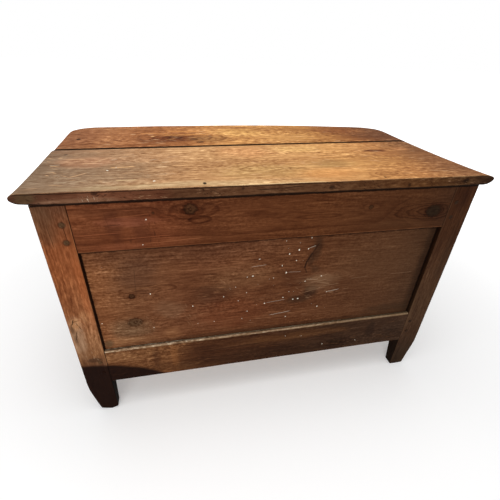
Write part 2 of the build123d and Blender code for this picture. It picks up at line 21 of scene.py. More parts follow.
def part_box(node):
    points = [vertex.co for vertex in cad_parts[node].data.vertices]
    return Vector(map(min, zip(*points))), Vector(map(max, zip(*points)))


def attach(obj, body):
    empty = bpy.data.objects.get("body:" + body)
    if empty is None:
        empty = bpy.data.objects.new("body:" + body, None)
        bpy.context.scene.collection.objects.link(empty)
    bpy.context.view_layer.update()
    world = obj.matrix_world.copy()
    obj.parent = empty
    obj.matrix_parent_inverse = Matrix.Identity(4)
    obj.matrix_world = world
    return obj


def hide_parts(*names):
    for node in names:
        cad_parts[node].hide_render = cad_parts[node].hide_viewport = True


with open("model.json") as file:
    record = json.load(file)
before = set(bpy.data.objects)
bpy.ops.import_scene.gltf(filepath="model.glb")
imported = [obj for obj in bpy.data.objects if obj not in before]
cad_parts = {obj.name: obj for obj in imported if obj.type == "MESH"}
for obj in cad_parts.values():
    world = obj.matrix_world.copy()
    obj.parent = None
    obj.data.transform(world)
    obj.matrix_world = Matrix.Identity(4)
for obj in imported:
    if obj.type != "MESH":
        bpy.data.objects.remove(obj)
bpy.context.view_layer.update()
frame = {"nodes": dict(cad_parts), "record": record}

# ------------------------------------------------------------------ places, from the solids


def corners_of(node):
    """The lowest and highest corner of a solid, as two arrays."""
    low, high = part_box(node)
    return np.array(low), np.array(high)


POST_LOW, POST_HIGH = corners_of("front_left_post")
REAR_LOW, REAR_HIGH = corners_of("rear_right_post")
RAIL_LOW, RAIL_HIGH = corners_of("front_top_rail")
FOOT_RAIL_HIGH = corners_of("front_bottom_rail")[1]
LID_LOW, LID_HIGH = corners_of("lid_front_board")
LID_BACK_LOW, LID_BACK_HIGH = corners_of("lid_rear_board")
FACE_Y = POST_LOW[1]  # front of the case
BACK_Y = REAR_HIGH[1]
MIDDLE_Y = (FACE_Y + BACK_Y) / 2
SIDE_X = REAR_HIGH[0]
OPEN_X = -POST_HIGH[0]  # half the width between the front posts
OPEN_LOW = FOOT_RAIL_HIGH[2]  # between the rails
OPEN_HIGH = RAIL_LOW[2]
LID_TOP = LID_HIGH[2]
LID_UNDER = LID_LOW[2]
LID_LEFT = LID_LOW[0]
LID_RIGHT = LID_HIGH[0]
LID_FRONT = LID_LOW[1]
LID_BACK = LID_BACK_HIGH[1]

FOOT_TAPER_HEIGHT = 0.104
FOOT_SIDE_TAPER = 0.020
FOOT_INNER_TAPER = 0.016
FOOT_EASE = 0.018
FOOT_WORN = 0.0015  # how far the corners of a foot are worn up
LEFT_FOOT_WORN = 0.009
FOOT_WORN_HEIGHT = 0.04  # where that wear ends
FOOT_LOWEST = 0.4  # the share across a post where its foot isn't worn
FOOT_INNER_SHARE = 0.8  # of the wear, at the inner corner
DUST_CHAMFER = 0.0035
RAIL_ARRIS = 0.0015
PANEL_BEVEL = 0.038
TONGUE = 0.0104
TONGUE_THICKNESS = 0.0076
REAR_LAP = 0.010
FLOOR_LAP = 0.008
FLOOR_BOARDS = sum(node.startswith("floor_board_") for node in frame["nodes"])
LAP_CLEARANCE = 0.0002
NOTCH_CLEARANCE = 0.001
BATTEN_CHAMFER = 0.006
LID_NOSE_LEFT = (0.015, 0.017)  # how far in a worn end starts to fall, above and below
LID_NOSE_RIGHT = (0.036, 0.024)
LID_LEFT_RISE = 0.0050  # how far the underside of the left end is worn up
LID_LEFT_RISE_REACH = 0.06
LID_NOSE_LEVEL = 0.60  # where its tip is, as a share of the thickness
LID_END_HOLLOW = 0.0155
LID_END_SKEW = 0.028
LID_LEFT_HOLLOW = 0.004
LID_REAR_BOW = 0.024
LID_REAR_BOW_RIGHT = 0.060  # worn further back there
LID_LEFT_CORNER = 0.080
LID_RIGHT_CORNER = 0.090
LID_SEAM_LEFT = 0.295
LID_SEAM_RIGHT = 0.333
LID_SEAM_GAP = 0.005
LID_SEAM_EASE = 0.0006  # more, for the wavering of its edges

# ------------------------------------------------------------------ swept boards

STATION_STEP = 0.005
END_STATIONS = np.array([0.0, 0.0002, 0.0006, 0.0012, 0.002, 0.0032, 0.005, 0.0075, 0.0105, 0.015])
BLEND_POINTS = 5
GUARD = 0.003  # from an arris to the first point on the face beside it
FACE_STEP = 0.012
ARRIS_WAVE = 0.083  # steps of the random heights along an arris, long and short
ARRIS_RIPPLE = 0.019
NICK_STEP = 0.014
NICK_LEVEL = 0.55
NICKED_PATCH = 0.16
LONG_HILLS = (0.13, 0.030)  # steps of the random heights over a face, along and round it
SHORT_HILLS = (0.034, 0.009)


def seed_of(*words):
    """The same seed each run for the same words."""
    return zlib.crc32("/".join(str(word) for word in words).encode())


def ease(f):
    """3f^2 - 2f^3: from 0 to 1, level at both ends."""
    return f * f * (3 - 2 * f)


def wander(t, step, *words):
    """Smooth random heights from -1 to 1 along t: random knots one step apart, joined by
    the cubic 3f^2 - 2f^3."""
    cells = (t - t.min()) / step
    knots = np.random.default_rng(seed_of(*words)).uniform(-1, 1, int(cells.max()) + 2)
    cell = np.floor(cells).astype(int)
    f = ease(cells - cell)
    return knots[cell] * (1 - f) + knots[cell + 1] * f


def hills(u, v, step_u, step_v, *words):
    """Smooth random heights from -1 to 1 over a surface: u runs along it and v round it.
    Random knots on a grid, joined both ways by the cubic 3f^2 - 2f^3, and closed in v."""
    rows = int(np.ptp(u) / step_u) + 3
    turns = max(4, int(round(v.max() / step_v)))
    knots = np.random.default_rng(seed_of(*words)).uniform(-1, 1, (rows, turns))
    a = (u - u.min()) / step_u
    b = v / v.max() * turns
    i, j = np.floor(a).astype(int), np.floor(b).astype(int)
    f, g = ease(a - i), ease(b - j)
    j0, j1 = j % turns, (j + 1) % turns
    near = knots[i, j0] * (1 - g) + knots[i, j1] * g
    far = knots[i + 1, j0] * (1 - g) + knots[i + 1, j1] * g
    return near * (1 - f) + far * f


def stations(span, extra=()):
    """Places along a board, one step apart, closer towards its two ends and either side of
    any extra place."""
    length = span[1] - span[0]
    middle = np.arange(END_STATIONS[-1] + STATION_STEP, length - END_STATIONS[-1], STATION_STEP)
    places = [span[0] + END_STATIONS, span[0] + middle, span[1] - END_STATIONS]
    places += [np.array([place - 0.0001, place + 0.0001]) for place in extra]
    return np.unique(np.round(np.concatenate(places), 5))


def worn_rings(outline, places, radius, wear, chips, name):
    """The outline repeated at every place, as an array of rings. Each corner is the
    quadratic blend (1-t)^2 A + 2t(1-t) C + t^2 B between points A and B that lie a radius
    from it, and the radius, one for each corner or one for all, wanders along the board:
    radius + wear * heights, plus chips where a second set of heights passes a threshold,
    up to a third of the shorter side.
    Between corners, a face gets points one step apart. Also gives each point's share in
    the worn arris, and its distance round the outline."""
    outline = np.asarray(outline, float)
    count = len(outline)
    radii = np.broadcast_to(radius, count)
    t = np.linspace(0, 1, BLEND_POINTS)[None, :, None]
    columns, arris, round_about = [], [], []
    travelled = 0.0
    for i in range(count):
        corner, before, after = outline[i], outline[i - 1], outline[(i + 1) % count]
        back, ahead = before - corner, after - corner
        room = np.hypot(*back) / 3, np.hypot(*ahead) / 3
        back, ahead = back / (3 * room[0]), ahead / (3 * room[1])
        ripple = wander(places, ARRIS_RIPPLE, name, i, "short")
        heights = wander(places, ARRIS_WAVE, name, i) + 0.6 * ripple
        nick = np.clip(wander(places, NICK_STEP, name, i, "nick") - NICK_LEVEL, 0, None) / (1 - NICK_LEVEL)
        patch = np.clip(wander(places, NICKED_PATCH, name, i, "patch"), 0, None)
        r = radii[i] + wear * np.clip(0.5 + 0.6 * heights, 0, None) + chips * nick * patch
        r = np.minimum(r, min(room))[:, None, None]
        guards = [min(GUARD, 0.4 * side) for side in room]
        start = corner + r * back
        end = corner + r * ahead
        blend = (1 - t) ** 2 * start + 2 * t * (1 - t) * corner + t**2 * end
        columns += [start + guards[0] * back, blend, end + guards[1] * ahead]
        arris += [0.0] + [1.0] * BLEND_POINTS + [0.0]
        span = 3 * room[1]
        round_about += [travelled - guards[0]] + [travelled] * BLEND_POINTS + [travelled + guards[1]]
        reach = min(GUARD * 2 + radii.max() + wear + chips, room[1])
        steps = int((span - 2 * reach) / FACE_STEP)
        if steps > 0:
            shares = reach / span + np.linspace(0, 1, steps + 1) * (1 - 2 * reach / span)
            flat = corner + shares[None, :, None] * (after - corner)
            columns.append(np.broadcast_to(flat, (len(places), steps + 1, 2)))
            arris += [0.0] * (steps + 1)
            round_about += list(travelled + shares * span)
        travelled += span
    return np.concatenate(columns, axis=1), np.array(arris), np.array(round_about) % travelled


def pull_in(rings, amount):
    """Rings moved inwards, square to the ring, by an amount for each place and point."""
    along = np.roll(rings, -1, axis=1) - np.roll(rings, 1, axis=1)
    along /= np.maximum(np.linalg.norm(along, axis=2, keepdims=True), 1e-9)
    inward = np.stack([-along[..., 1], along[..., 0]], axis=2)
    return rings + inward * amount[..., None]


def add_mesh(name, points, faces, material, attributes):
    """A mesh object at the origin from points and faces, with its attributes."""
    mesh = bpy.data.meshes.new(name)
    mesh.from_pydata(points.reshape(-1, 3).tolist(), [], faces)
    for label, values in attributes.items():
        if values.ndim == 2:
            field = mesh.attributes.new(label, "FLOAT_VECTOR", "POINT")
            field.data.foreach_set("vector", values.astype(np.float32).ravel())
        else:
            field = mesh.attributes.new(label, "FLOAT", "POINT")
            field.data.foreach_set("value", values.astype(np.float32))
    mesh.polygons.foreach_set("use_smooth", [True] * len(mesh.polygons))
    mesh.set_sharp_from_angle(angle=np.radians(38))
    mesh.materials.append(material)
    mesh.update()
    piece = bpy.data.objects.new(name, mesh)
    bpy.context.scene.collection.objects.link(piece)
    return piece


# Which way a board runs, then the two axes of its outline, kept right-handed.
RUNS = {"x": (0, 1, 2), "y": (1, 2, 0), "z": (2, 0, 1)}
BODY_OF = {n: body for body, names in frame["record"]["behaviour"]["bodies"].items() for n in names}
SLOT_OF = {part["node"]: part["material_slot"] for part in frame["record"]["subparts"]}


def board(
    node,
    run,
    outline,
    span,
    material,
    heart=(0.0, -0.09),
    radius=0.0008,
    wear=0.0008,
    chips=0.0,
    relief=0.00015,
    end_round=0.0008,
    extra=(),
    warp=None,
):
    """A board that stands for one solid: its outline, worn, carried along the run over the
    span. Its faces sink by up to twice the relief. Towards each end the rings shrink along
    a quarter circle, and a face closes the end. warp then bends the whole set of points.
    The grain attribute is the place in the tree that the board was cut from."""
    places = stations(span, extra)
    rings, arris, around = worn_rings(outline, places, radius, wear, chips, node)
    count = rings.shape[1]
    u = np.broadcast_to(places[:, None], rings.shape[:2])
    v = np.broadcast_to(around[None, :], rings.shape[:2])
    long_hills = hills(u, v, *LONG_HILLS, node, "long")
    short_hills = hills(u, v, *SHORT_HILLS, node, "short")
    from_end = np.minimum(places - span[0], span[1] - places)
    short = np.clip(end_round - from_end, 0, end_round)
    shrink = end_round - np.sqrt(end_round**2 - short**2)
    sink = relief * (1 + 0.65 * long_hills + 0.35 * short_hills) * np.clip(from_end / 0.004, 0, 1)[:, None]
    rings = pull_in(rings, shrink[:, None] + sink)

    points = np.empty((len(places), count, 3))
    axes = RUNS[run]
    points[..., axes[0]] = places[:, None]
    points[..., axes[1]] = rings[..., 0]
    points[..., axes[2]] = rings[..., 1]
    middle = np.asarray(outline, float).mean(0)
    shift = np.random.default_rng(seed_of(node, "grain")).uniform(-5, 5)
    grain = np.stack(
        [u + shift, rings[..., 0] - middle[0] - heart[0], rings[..., 1] - middle[1] - heart[1]], axis=2
    )
    if warp:
        points = warp(points)

    k = np.arange(len(places) - 1)[:, None] * count
    m = np.arange(count)[None, :]
    after = (m + 1) % count
    quads = np.stack([k + m, k + after, k + count + after, k + count + m], axis=2).reshape(-1, 4).tolist()
    last = (len(places) - 1) * count
    quads.append(list(range(count))[::-1])
    quads.append([last + i for i in range(count)])
    attributes = {"grain": grain.reshape(-1, 3), "arris": np.tile(arris, len(places))}
    piece = add_mesh(node + "_worn", points, quads, material, attributes)
    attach(piece, BODY_OF[node])
    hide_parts(node)
    return piece


def rectangle(a0, a1, b0, b1):
    """An outline with two sides along each axis, anticlockwise."""
    return [(a0, b0), (a1, b0), (a1, b1), (a0, b1)]


# ------------------------------------------------------------------ node helpers


def add(tree, kind, inputs=None, **settings):
    """A node with its settings, and its inputs by name or number: a socket is linked and
    anything else is set as the value."""
    node = tree.nodes.new(kind)
    for key, value in settings.items():
        setattr(node, key, value)
    for key, value in (inputs or {}).items():
        if isinstance(value, bpy.types.NodeSocket):
            tree.links.new(value, node.inputs[key])
        else:
            node.inputs[key].default_value = value
    return node


def maths(tree, operation, a, b=0.0, c=0.0, clamp=False):
    """One step of arithmetic."""
    node = add(tree, "ShaderNodeMath", {0: a, 1: b, 2: c}, operation=operation, use_clamp=clamp)
    return node.outputs[0]


def vector_maths(tree, operation, a, b=(0, 0, 0)):
    """One step of vector arithmetic."""
    return add(tree, "ShaderNodeVectorMath", {0: a, 1: b}, operation=operation).outputs[0]


def length_of(tree, vector):
    """How long a vector is."""
    return add(tree, "ShaderNodeVectorMath", {0: vector}, operation="LENGTH").outputs["Value"]


def ramp(tree, value, low, high, out_low=0.0, out_high=1.0, smooth=True):
    """A value carried from one range to another, eased at both ends."""
    node = add(
        tree,
        "ShaderNodeMapRange",
        {"Value": value, "From Min": low, "From Max": high, "To Min": out_low, "To Max": out_high},
        interpolation_type="SMOOTHSTEP" if smooth else "LINEAR",
    )
    return node.outputs[0]


def shade(red, green, blue):
    """A colour as it shows on a screen, from 0 to 255, turned into linear light."""
    screen = np.array([red, green, blue]) / 255
    light = np.where(screen > 0.04045, ((screen + 0.055) / 1.055) ** 2.4, screen / 12.92)
    return tuple(float(part) for part in light)


def mix(tree, share, a, b, blend="MIX"):
    """Two colours mixed. One written out is as it shows on a screen, from 0 to 255."""
    node = add(tree, "ShaderNodeMix", data_type="RGBA", blend_type=blend, clamp_factor=True)
    for key, value in ((0, share), (6, a), (7, b)):
        if isinstance(value, bpy.types.NodeSocket):
            tree.links.new(value, node.inputs[key])
        else:
            node.inputs[key].default_value = (*shade(*value), 1) if isinstance(value, tuple) else value
    return node.outputs[2]


def parts_of(tree, vector):
    """The three parts of a vector."""
    return add(tree, "ShaderNodeSeparateXYZ", {0: vector}).outputs


def joined(tree, parts):
    """A vector from its parts by number."""
    return add(tree, "ShaderNodeCombineXYZ", parts).outputs[0]


def noise(tree, vector, scale, detail=2.0, roughness=0.5):
    """Noise from 0 to 1."""
    settings = {"Vector": vector, "Scale": scale, "Detail": detail, "Roughness": roughness}
    return add(tree, "ShaderNodeTexNoise", settings).outputs["Fac"]


def stretched(tree, vector, scale):
    """A vector with each part multiplied by its own scale."""
    return vector_maths(tree, "MULTIPLY", vector, scale)


def effect(name, inputs, outputs, build):
    """A shader node group: build gets the tree and its inputs, and returns its outputs."""
    tree = bpy.data.node_groups.new(name, "ShaderNodeTree")
    for label, kind, value in inputs:
        socket = tree.interface.new_socket(name=label, in_out="INPUT", socket_type="NodeSocket" + kind)
        socket.default_value = value
    for label, kind in outputs:
        tree.interface.new_socket(name=label, in_out="OUTPUT", socket_type="NodeSocket" + kind)
    start = tree.nodes.new("NodeGroupInput")
    end = tree.nodes.new("NodeGroupOutput")
    for label, socket in build(tree, start.outputs).items():
        tree.links.new(socket, end.inputs[label])
    return tree


def use(tree, group, **inputs):
    """A group's outputs, with its inputs set or linked. Spaces are written as underscores."""
    node = tree.nodes.new("ShaderNodeGroup")
    node.node_tree = group
    for key, value in inputs.items():
        socket = node.inputs[key.replace("_", " ")]
        if isinstance(value, bpy.types.NodeSocket):
            tree.links.new(value, socket)
        else:
            socket.default_value = value
    return node.outputs


# ------------------------------------------------------------------ effects


def about_zero(tree, value, reach):
    """A value from 0 to 1 moved to lie between minus and plus a reach."""
    return maths(tree, "MULTIPLY", maths(tree, "SUBTRACT", value, 0.5), reach)


def figure(tree, given):
    """Growth rings, fibre and clouds of old pine. The ring number is the distance from the
    heart, bent by noise and pushed by knots, over the ring width; its fraction rises
    slowly through the pale wood and drops at the dark line. Fibre, streaks and mottling
    are noises drawn out along the grain, and lines are the darkest and palest parts of a
    noise drawn out further. A slow noise makes lines and mottling faint here and strong
    there."""
    grain = given["Grain"]
    bend = about_zero(tree, noise(tree, stretched(tree, grain, (1.6, 9, 9)), 1.0, 3.0), given["Wander"])
    ripple = about_zero(tree, noise(tree, stretched(tree, grain, (14, 60, 60)), 1.0, 2.0), 0.0035)
    flat = stretched(tree, grain, (0, 1, 1))
    out = maths(tree, "ADD", length_of(tree, flat), bend)
    out = maths(tree, "ADD", maths(tree, "ADD", out, ripple), given["Push"])
    turns = maths(tree, "DIVIDE", out, given["Ring Width"])
    share = maths(tree, "FRACT", turns)
    late = maths(tree, "POWER", share, 3.2)
    late = maths(tree, "MULTIPLY", late, ramp(tree, share, 0.93, 1.0, 1.0, 0.0))
    strong = noise(tree, joined(tree, {0: turns}), 0.7, 1.0)
    late = maths(tree, "MULTIPLY", late, ramp(tree, strong, 0.3, 0.7, 0.35, 1.25))

    wave = about_zero(tree, noise(tree, stretched(tree, grain, (7, 18, 18)), 1.0, 2.0), 0.012)
    wave = maths(tree, "MULTIPLY_ADD", given["Push"], 0.7, wave)
    bent = vector_maths(tree, "ADD", grain, joined(tree, {1: wave, 2: wave}))
    fibre = noise(tree, stretched(tree, bent, (26, 300, 300)), 1.0, 3.0, 0.65)
    streak = noise(tree, stretched(tree, bent, (6, 80, 80)), 1.0, 4.0, 0.65)
    mottle = noise(tree, vector_maths(tree, "MULTIPLY", bent, given["Mottle Scale"]), 1.0, 3.0, 0.6)
    cloud = noise(tree, stretched(tree, grain, (3.5, 11, 11)), 1.0, 4.0, 0.55)
    lines = noise(tree, vector_maths(tree, "MULTIPLY", bent, given["Line Scale"]), 1.0, 2.0)
    dark = ramp(tree, lines, 0.58, 0.68)
    pale = ramp(tree, lines, 0.32, 0.42, 1.0, 0.0)
    busy = ramp(tree, noise(tree, stretched(tree, grain, (4, 16, 16)), 1.0, 2.0), 0.35, 0.62, 0.45, 1.35)
    lines = maths(tree, "MULTIPLY", maths(tree, "MULTIPLY_ADD", pale, -0.8, dark), busy)
    mottle = maths(tree, "MULTIPLY_ADD", maths(tree, "SUBTRACT", mottle, 0.5), busy, 0.5)
    return {"Late": late, "Fibre": fibre, "Streak": streak, "Mottle": mottle, "Cloud": cloud, "Lines": lines}


FIGURE = effect(
    "pine_figure",
    [
        ("Grain", "Vector", (0, 0, 0)),
        ("Push", "Float", 0.0),
        ("Ring Width", "Float", 0.005),
        ("Wander", "Float", 0.02),
        ("Mottle Scale", "Vector", (38, 95, 95)),
        ("Line Scale", "Vector", (14, 260, 260)),
    ],
    [(label, "Float") for label in ("Late", "Fibre", "Streak", "Mottle", "Cloud", "Lines")],
    figure,
)


def reach_from(tree, face, centre, radii):
    """The distance from a centre, over two radii."""
    away = vector_maths(tree, "DIVIDE", vector_maths(tree, "SUBTRACT", face, centre), radii)
    return length_of(tree, stretched(tree, away, (1, 1, 0)))


def knot(tree, given):
    """A knot seen on the face: a wide bell round its centre pushes the rings aside, and
    within its radii lie a core, dark rings of its own and a dark rim."""
    rough = about_zero(tree, noise(tree, given["Face"], 110.0, 4.0, 0.65), 1.3)
    far = maths(tree, "ADD", reach_from(tree, given["Face"], given["Centre"], given["Radii"]), rough)
    wide = reach_from(tree, given["Face"], given["Centre"], given["Flow"])
    bell = maths(tree, "EXPONENT", maths(tree, "MULTIPLY", maths(tree, "MULTIPLY", wide, wide), -1.0))
    push = maths(tree, "MULTIPLY", bell, given["Push"])
    core = ramp(tree, far, 0.85, 1.10, 1.0, 0.0)
    eye = maths(tree, "SINE", maths(tree, "MULTIPLY", far, 9.0))
    eye = maths(tree, "MULTIPLY", core, ramp(tree, eye, -0.2, 0.9))
    rim = ramp(tree, maths(tree, "ABSOLUTE", maths(tree, "SUBTRACT", far, 1.0)), 0.0, 0.24, 1.0, 0.0)
    halo = ramp(tree, far, 0.9, 2.2, 1.0, 0.0)
    return {"Push": push, "Core": core, "Rings": maths(tree, "MAXIMUM", rim, eye), "Halo": halo}


KNOT = effect(
    "knot",
    [
        ("Face", "Vector", (0, 0, 0)),
        ("Centre", "Vector", (0, 0, 0)),
        ("Radii", "Vector", (0.01, 0.01, 1)),
        ("Flow", "Vector", (0.06, 0.02, 1)),
        ("Push", "Float", 0.02),
    ],
    [("Push", "Float"), ("Core", "Float"), ("Rings", "Float"), ("Halo", "Float")],
    knot,
)


def loops(tree, given):
    """Thin growth lines that loop round a centre, one inside the next, fading outwards. The
    ovals are as long as the radii on the left, and shorter on the right by the squeeze."""
    away = vector_maths(tree, "SUBTRACT", given["Face"], given["Centre"])
    parts = parts_of(tree, vector_maths(tree, "DIVIDE", away, given["Radii"]))
    extra = maths(tree, "MULTIPLY", maths(tree, "MAXIMUM", parts["X"], 0.0), given["Squeeze"])
    oval = joined(tree, {0: maths(tree, "ADD", parts["X"], extra), 1: parts["Y"]})
    rough = about_zero(tree, noise(tree, stretched(tree, given["Face"], (22, 60, 1)), 1.0, 3.0), 0.34)
    far = maths(tree, "ADD", length_of(tree, oval), rough)
    share = maths(tree, "FRACT", maths(tree, "MULTIPLY", far, given["Turns"]))
    line = maths(tree, "MULTIPLY", ramp(tree, share, 0.45, 0.85), ramp(tree, share, 0.88, 1.0, 1.0, 0.0))
    return {"Mask": maths(tree, "MULTIPLY", line, ramp(tree, far, 0.75, 1.05, 1.0, 0.0))}


LOOPS = effect(
    "growth_loops",
    [
        ("Face", "Vector", (0, 0, 0)),
        ("Centre", "Vector", (0, 0, 0)),
        ("Radii", "Vector", (0.1, 0.03, 1)),
        ("Turns", "Float", 4.0),
        ("Squeeze", "Float", 0.0),
    ],
    [("Mask", "Float")],
    loops,
)


def stain(tree, given):
    """A patch: the distance from its centre over its two radii, broken up by noise, eased
    from full to none over the soft share of its edge."""
    far = reach_from(tree, given["Face"], given["Centre"], given["Radii"])
    rough = noise(tree, stretched(tree, given["Face"], (14, 26, 1)), 1.0, 5.0, 0.62)
    far = maths(tree, "ADD", far, about_zero(tree, rough, given["Ragged"]))
    low = maths(tree, "SUBTRACT", 1.0, given["Soft"])
    high = maths(tree, "ADD", 1.0, given["Soft"])
    return {"Mask": ramp(tree, far, low, high, 1.0, 0.0)}


STAIN_AND_SHADOW_PATCH = effect(
    "stain",
    [
        ("Face", "Vector", (0, 0, 0)),
        ("Centre", "Vector", (0, 0, 0)),
        ("Radii", "Vector", (0.1, 0.05, 1)),
        ("Ragged", "Float", 1.2),
        ("Soft", "Float", 0.5),
    ],
    [("Mask", "Float")],
    stain,
)


def scuffs(tree, given):
    """Short pale marks: noise drawn out along a turned direction and cut at a threshold,
    kept only where a slower noise is high."""
    turned = {"Vector": given["Face"], "Angle": given["Turn"]}
    face = add(tree, "ShaderNodeVectorRotate", turned, rotation_type="Z_AXIS").outputs[0]
    lines = noise(tree, vector_maths(tree, "MULTIPLY", face, given["Scale"]), 1.0, 2.0, 0.55)
    lines = ramp(tree, lines, 0.57, 0.67)
    where = ramp(tree, noise(tree, stretched(tree, face, (8, 26, 1)), 1.0, 3.0), 0.48, 0.66)
    return {"Mask": maths(tree, "MULTIPLY", lines, where)}


SCUFFS = effect(
    "scuffs",
    [("Face", "Vector", (0, 0, 0)), ("Turn", "Float", 0.0), ("Scale", "Vector", (16, 260, 1))],
    [("Mask", "Float")],
    scuffs,
)


def flecks(tree, given):
    """Flecks of paint: in each cell of a grid of random points, a spot of random size round
    the point, kept only in some cells, and in more of them where Crowd is high."""
    cells = add(
        tree,
        "ShaderNodeTexVoronoi",
        {"Vector": stretched(tree, given["Face"], (0.7, 1, 1)), "Scale": given["Scale"]},
        voronoi_dimensions="2D",
    )
    chance = add(tree, "ShaderNodeSeparateColor", {0: cells.outputs["Color"]}).outputs
    size = maths(tree, "MULTIPLY_ADD", maths(tree, "POWER", chance[1], 4.0), 0.15, 0.045)
    spot = ramp(tree, maths(tree, "SUBTRACT", size, cells.outputs["Distance"]), 0.0, 0.03)
    kept = maths(tree, "LESS_THAN", chance[0], given["Crowd"])
    return {"Mask": maths(tree, "MULTIPLY", spot, kept)}


FLECKS = effect(
    "paint_flecks",
    [("Face", "Vector", (0, 0, 0)), ("Scale", "Float", 60.0), ("Crowd", "Float", 0.1)],
    [("Mask", "Float")],
    flecks,
)


def splash(tree, given):
    """One larger fleck of paint, with a rough edge."""
    away = vector_maths(tree, "SUBTRACT", given["Face"], given["Centre"])
    rough = about_zero(tree, noise(tree, given["Face"], 380.0, 2.0), 2.2)
    far = maths(tree, "DIVIDE", length_of(tree, stretched(tree, away, (1, 0.75, 0))), given["Size"])
    return {"Mask": ramp(tree, maths(tree, "ADD", far, rough), 0.5, 0.95, 1.0, 0.0)}


SPLASH = effect(
    "paint_splash",
    [("Face", "Vector", (0, 0, 0)), ("Centre", "Vector", (0, 0, 0)), ("Size", "Float", 0.002)],
    [("Mask", "Float")],
    splash,
)


def arris_wear(tree, given):
    """Rubbed edges, paler with wear and with a painted highlight: the arris attribute, cut up along the
    board by noise.
    """
    edge = add(tree, "ShaderNodeAttribute", attribute_name="arris").outputs["Fac"]
    broken = noise(tree, stretched(tree, given["Grain"], (34, 60, 60)), 1.0, 3.0)
    return {"Mask": maths(tree, "MULTIPLY", ramp(tree, edge, 0.5, 1.0), ramp(tree, broken, 0.3, 0.62))}


ARRIS_WEAR_AND_HIGHLIGHT = effect("arris_wear", [("Grain", "Vector", (0, 0, 0))], [("Mask", "Float")], arris_wear)


def crevice(tree, given):
    """Painted shade in the corners of a recess and under the lid, and dark joint lines: for each
    side of its opening, full at the side and none at that side's width from it, wavering with
    noise. Above is how full it is along the upper side."""
    waver = ramp(tree, noise(tree, given["Face"], 60.0, 4.0, 0.6), 0.25, 0.75, 0.8, 1.2)
    above = vector_maths(tree, "SUBTRACT", given["Face"], given["Low"])
    below = vector_maths(tree, "SUBTRACT", given["High"], given["Face"])
    masks = []
    for gap, width in ((above, given["Low Width"]), (below, given["High Width"])):
        share = parts_of(tree, vector_maths(tree, "DIVIDE", gap, width))
        for axis in "XY":
            masks.append(ramp(tree, maths(tree, "DIVIDE", share[axis], waver), 0.55, 1.0, 1.0, 0.0))
    masks[-1] = maths(tree, "MULTIPLY", masks[-1], given["Above"])
    deepest = masks[0]
    for mask in masks[1:]:
        deepest = maths(tree, "MAXIMUM", deepest, mask)
    return {"Mask": deepest}


CORNER_SHADE_AND_JOINTS = effect(
    "crevice_grime",
    [
        ("Face", "Vector", (0, 0, 0)),
        ("Low", "Vector", (-1, -1, 0)),
        ("High", "Vector", (1, 1, 0)),
        ("Low Width", "Vector", (0.003, 0.003, 1)),
        ("High Width", "Vector", (0.003, 0.003, 1)),
        ("Above", "Float", 1.0),
    ],
    [("Mask", "Float")],
    crevice,
)


def crack(tree, given):
    """A thin line, such as a split or a scratch: near the line that leans through its
    centre and wavers with noise, for its half length to each side."""
    away = vector_maths(tree, "SUBTRACT", given["Face"], given["Centre"])
    parts = parts_of(tree, away)
    drift = joined(tree, {0: maths(tree, "MULTIPLY", parts["Y"], 48.0)})
    drift = about_zero(tree, noise(tree, drift, 1.0, 2.0), given["Waver"])
    line = maths(tree, "MULTIPLY", parts["Y"], given["Lean"])
    off = maths(tree, "ABSOLUTE", maths(tree, "SUBTRACT", maths(tree, "SUBTRACT", parts["X"], line), drift))
    thin = ramp(tree, maths(tree, "DIVIDE", off, given["Width"]), 0.3, 1.0, 1.0, 0.0)
    ends = maths(tree, "DIVIDE", maths(tree, "ABSOLUTE", parts["Y"]), given["Half Length"])
    return {"Mask": maths(tree, "MULTIPLY", thin, ramp(tree, ends, 0.7, 1.0, 1.0, 0.0))}


CRACK = effect(
    "crack",
    [
        ("Face", "Vector", (0, 0, 0)),
        ("Centre", "Vector", (0, 0, 0)),
        ("Half Length", "Float", 0.04),
        ("Lean", "Float", 0.2),
        ("Waver", "Float", 0.02),
        ("Width", "Float", 0.002),
    ],
    [("Mask", "Float")],
    crack,
)


DEEPENED = (0.42, 0.33, 0.27)  # what is left of red, green and blue at a depth of 1


def tone_depth(tree, given):
    """A colour made deeper or paler: each part is multiplied by its own small number to
    the power of the depth, so that wood turns redder as it darkens."""
    parts = {i: maths(tree, "POWER", part, given["Depth"]) for i, part in enumerate(DEEPENED)}
    factor = joined(tree, parts)
    return {"Colour": mix(tree, 1.0, given["Colour"], factor, "MULTIPLY")}


TONE_DEPTH = effect(
    "tone_depth",
    [("Colour", "Color", (1, 1, 1, 1)), ("Depth", "Float", 0.0)],
    [("Colour", "Color")],
    tone_depth,
)

# ------------------------------------------------------------------ materials


def face_vector(tree, plane):
    """Object coordinates laid flat: the two axes of a board's face, as X and Y. Each is
    made once in a material."""
    if plane not in tree.nodes:
        place = add(tree, "ShaderNodeTexCoord").outputs["Object"]
        parts = parts_of(tree, place)
        chosen = {0: parts["XYZ".index(plane[0].upper())], 1: parts["XYZ".index(plane[1].upper())]}
        add(tree, "ShaderNodeCombineXYZ", chosen, name=plane)
    return tree.nodes[plane].outputs[0]


def part_of(tree, output, axis):
    """One axis of a Texture Coordinate output."""
    vector = add(tree, "ShaderNodeTexCoord").outputs[output]
    return parts_of(tree, vector)[axis.upper()]


def new_material(name):
    """An empty material and its tree."""
    material = bpy.data.materials.new(name)
    material.use_nodes = True
    material.node_tree.nodes.clear()
    return material, material.node_tree


def patch_on(tree, face, x, y, radii, ragged, soft):
    """The mask of a patch at a place on a face, for stains and painted shadows alike."""
    found = use(tree, STAIN_AND_SHADOW_PATCH, Face=face, Centre=(x, y, 0), Radii=(*radii, 1), Ragged=ragged, Soft=soft)
    return found["Mask"]


def line_on(tree, face, x, y, half, lean, waver, width):
    """The mask of a crack or scratch at a place on a face."""
    shape = dict(Half_Length=half, Lean=lean, Waver=waver, Width=width)
    return use(tree, CRACK, Face=face, Centre=(x, y, 0), **shape)["Mask"]


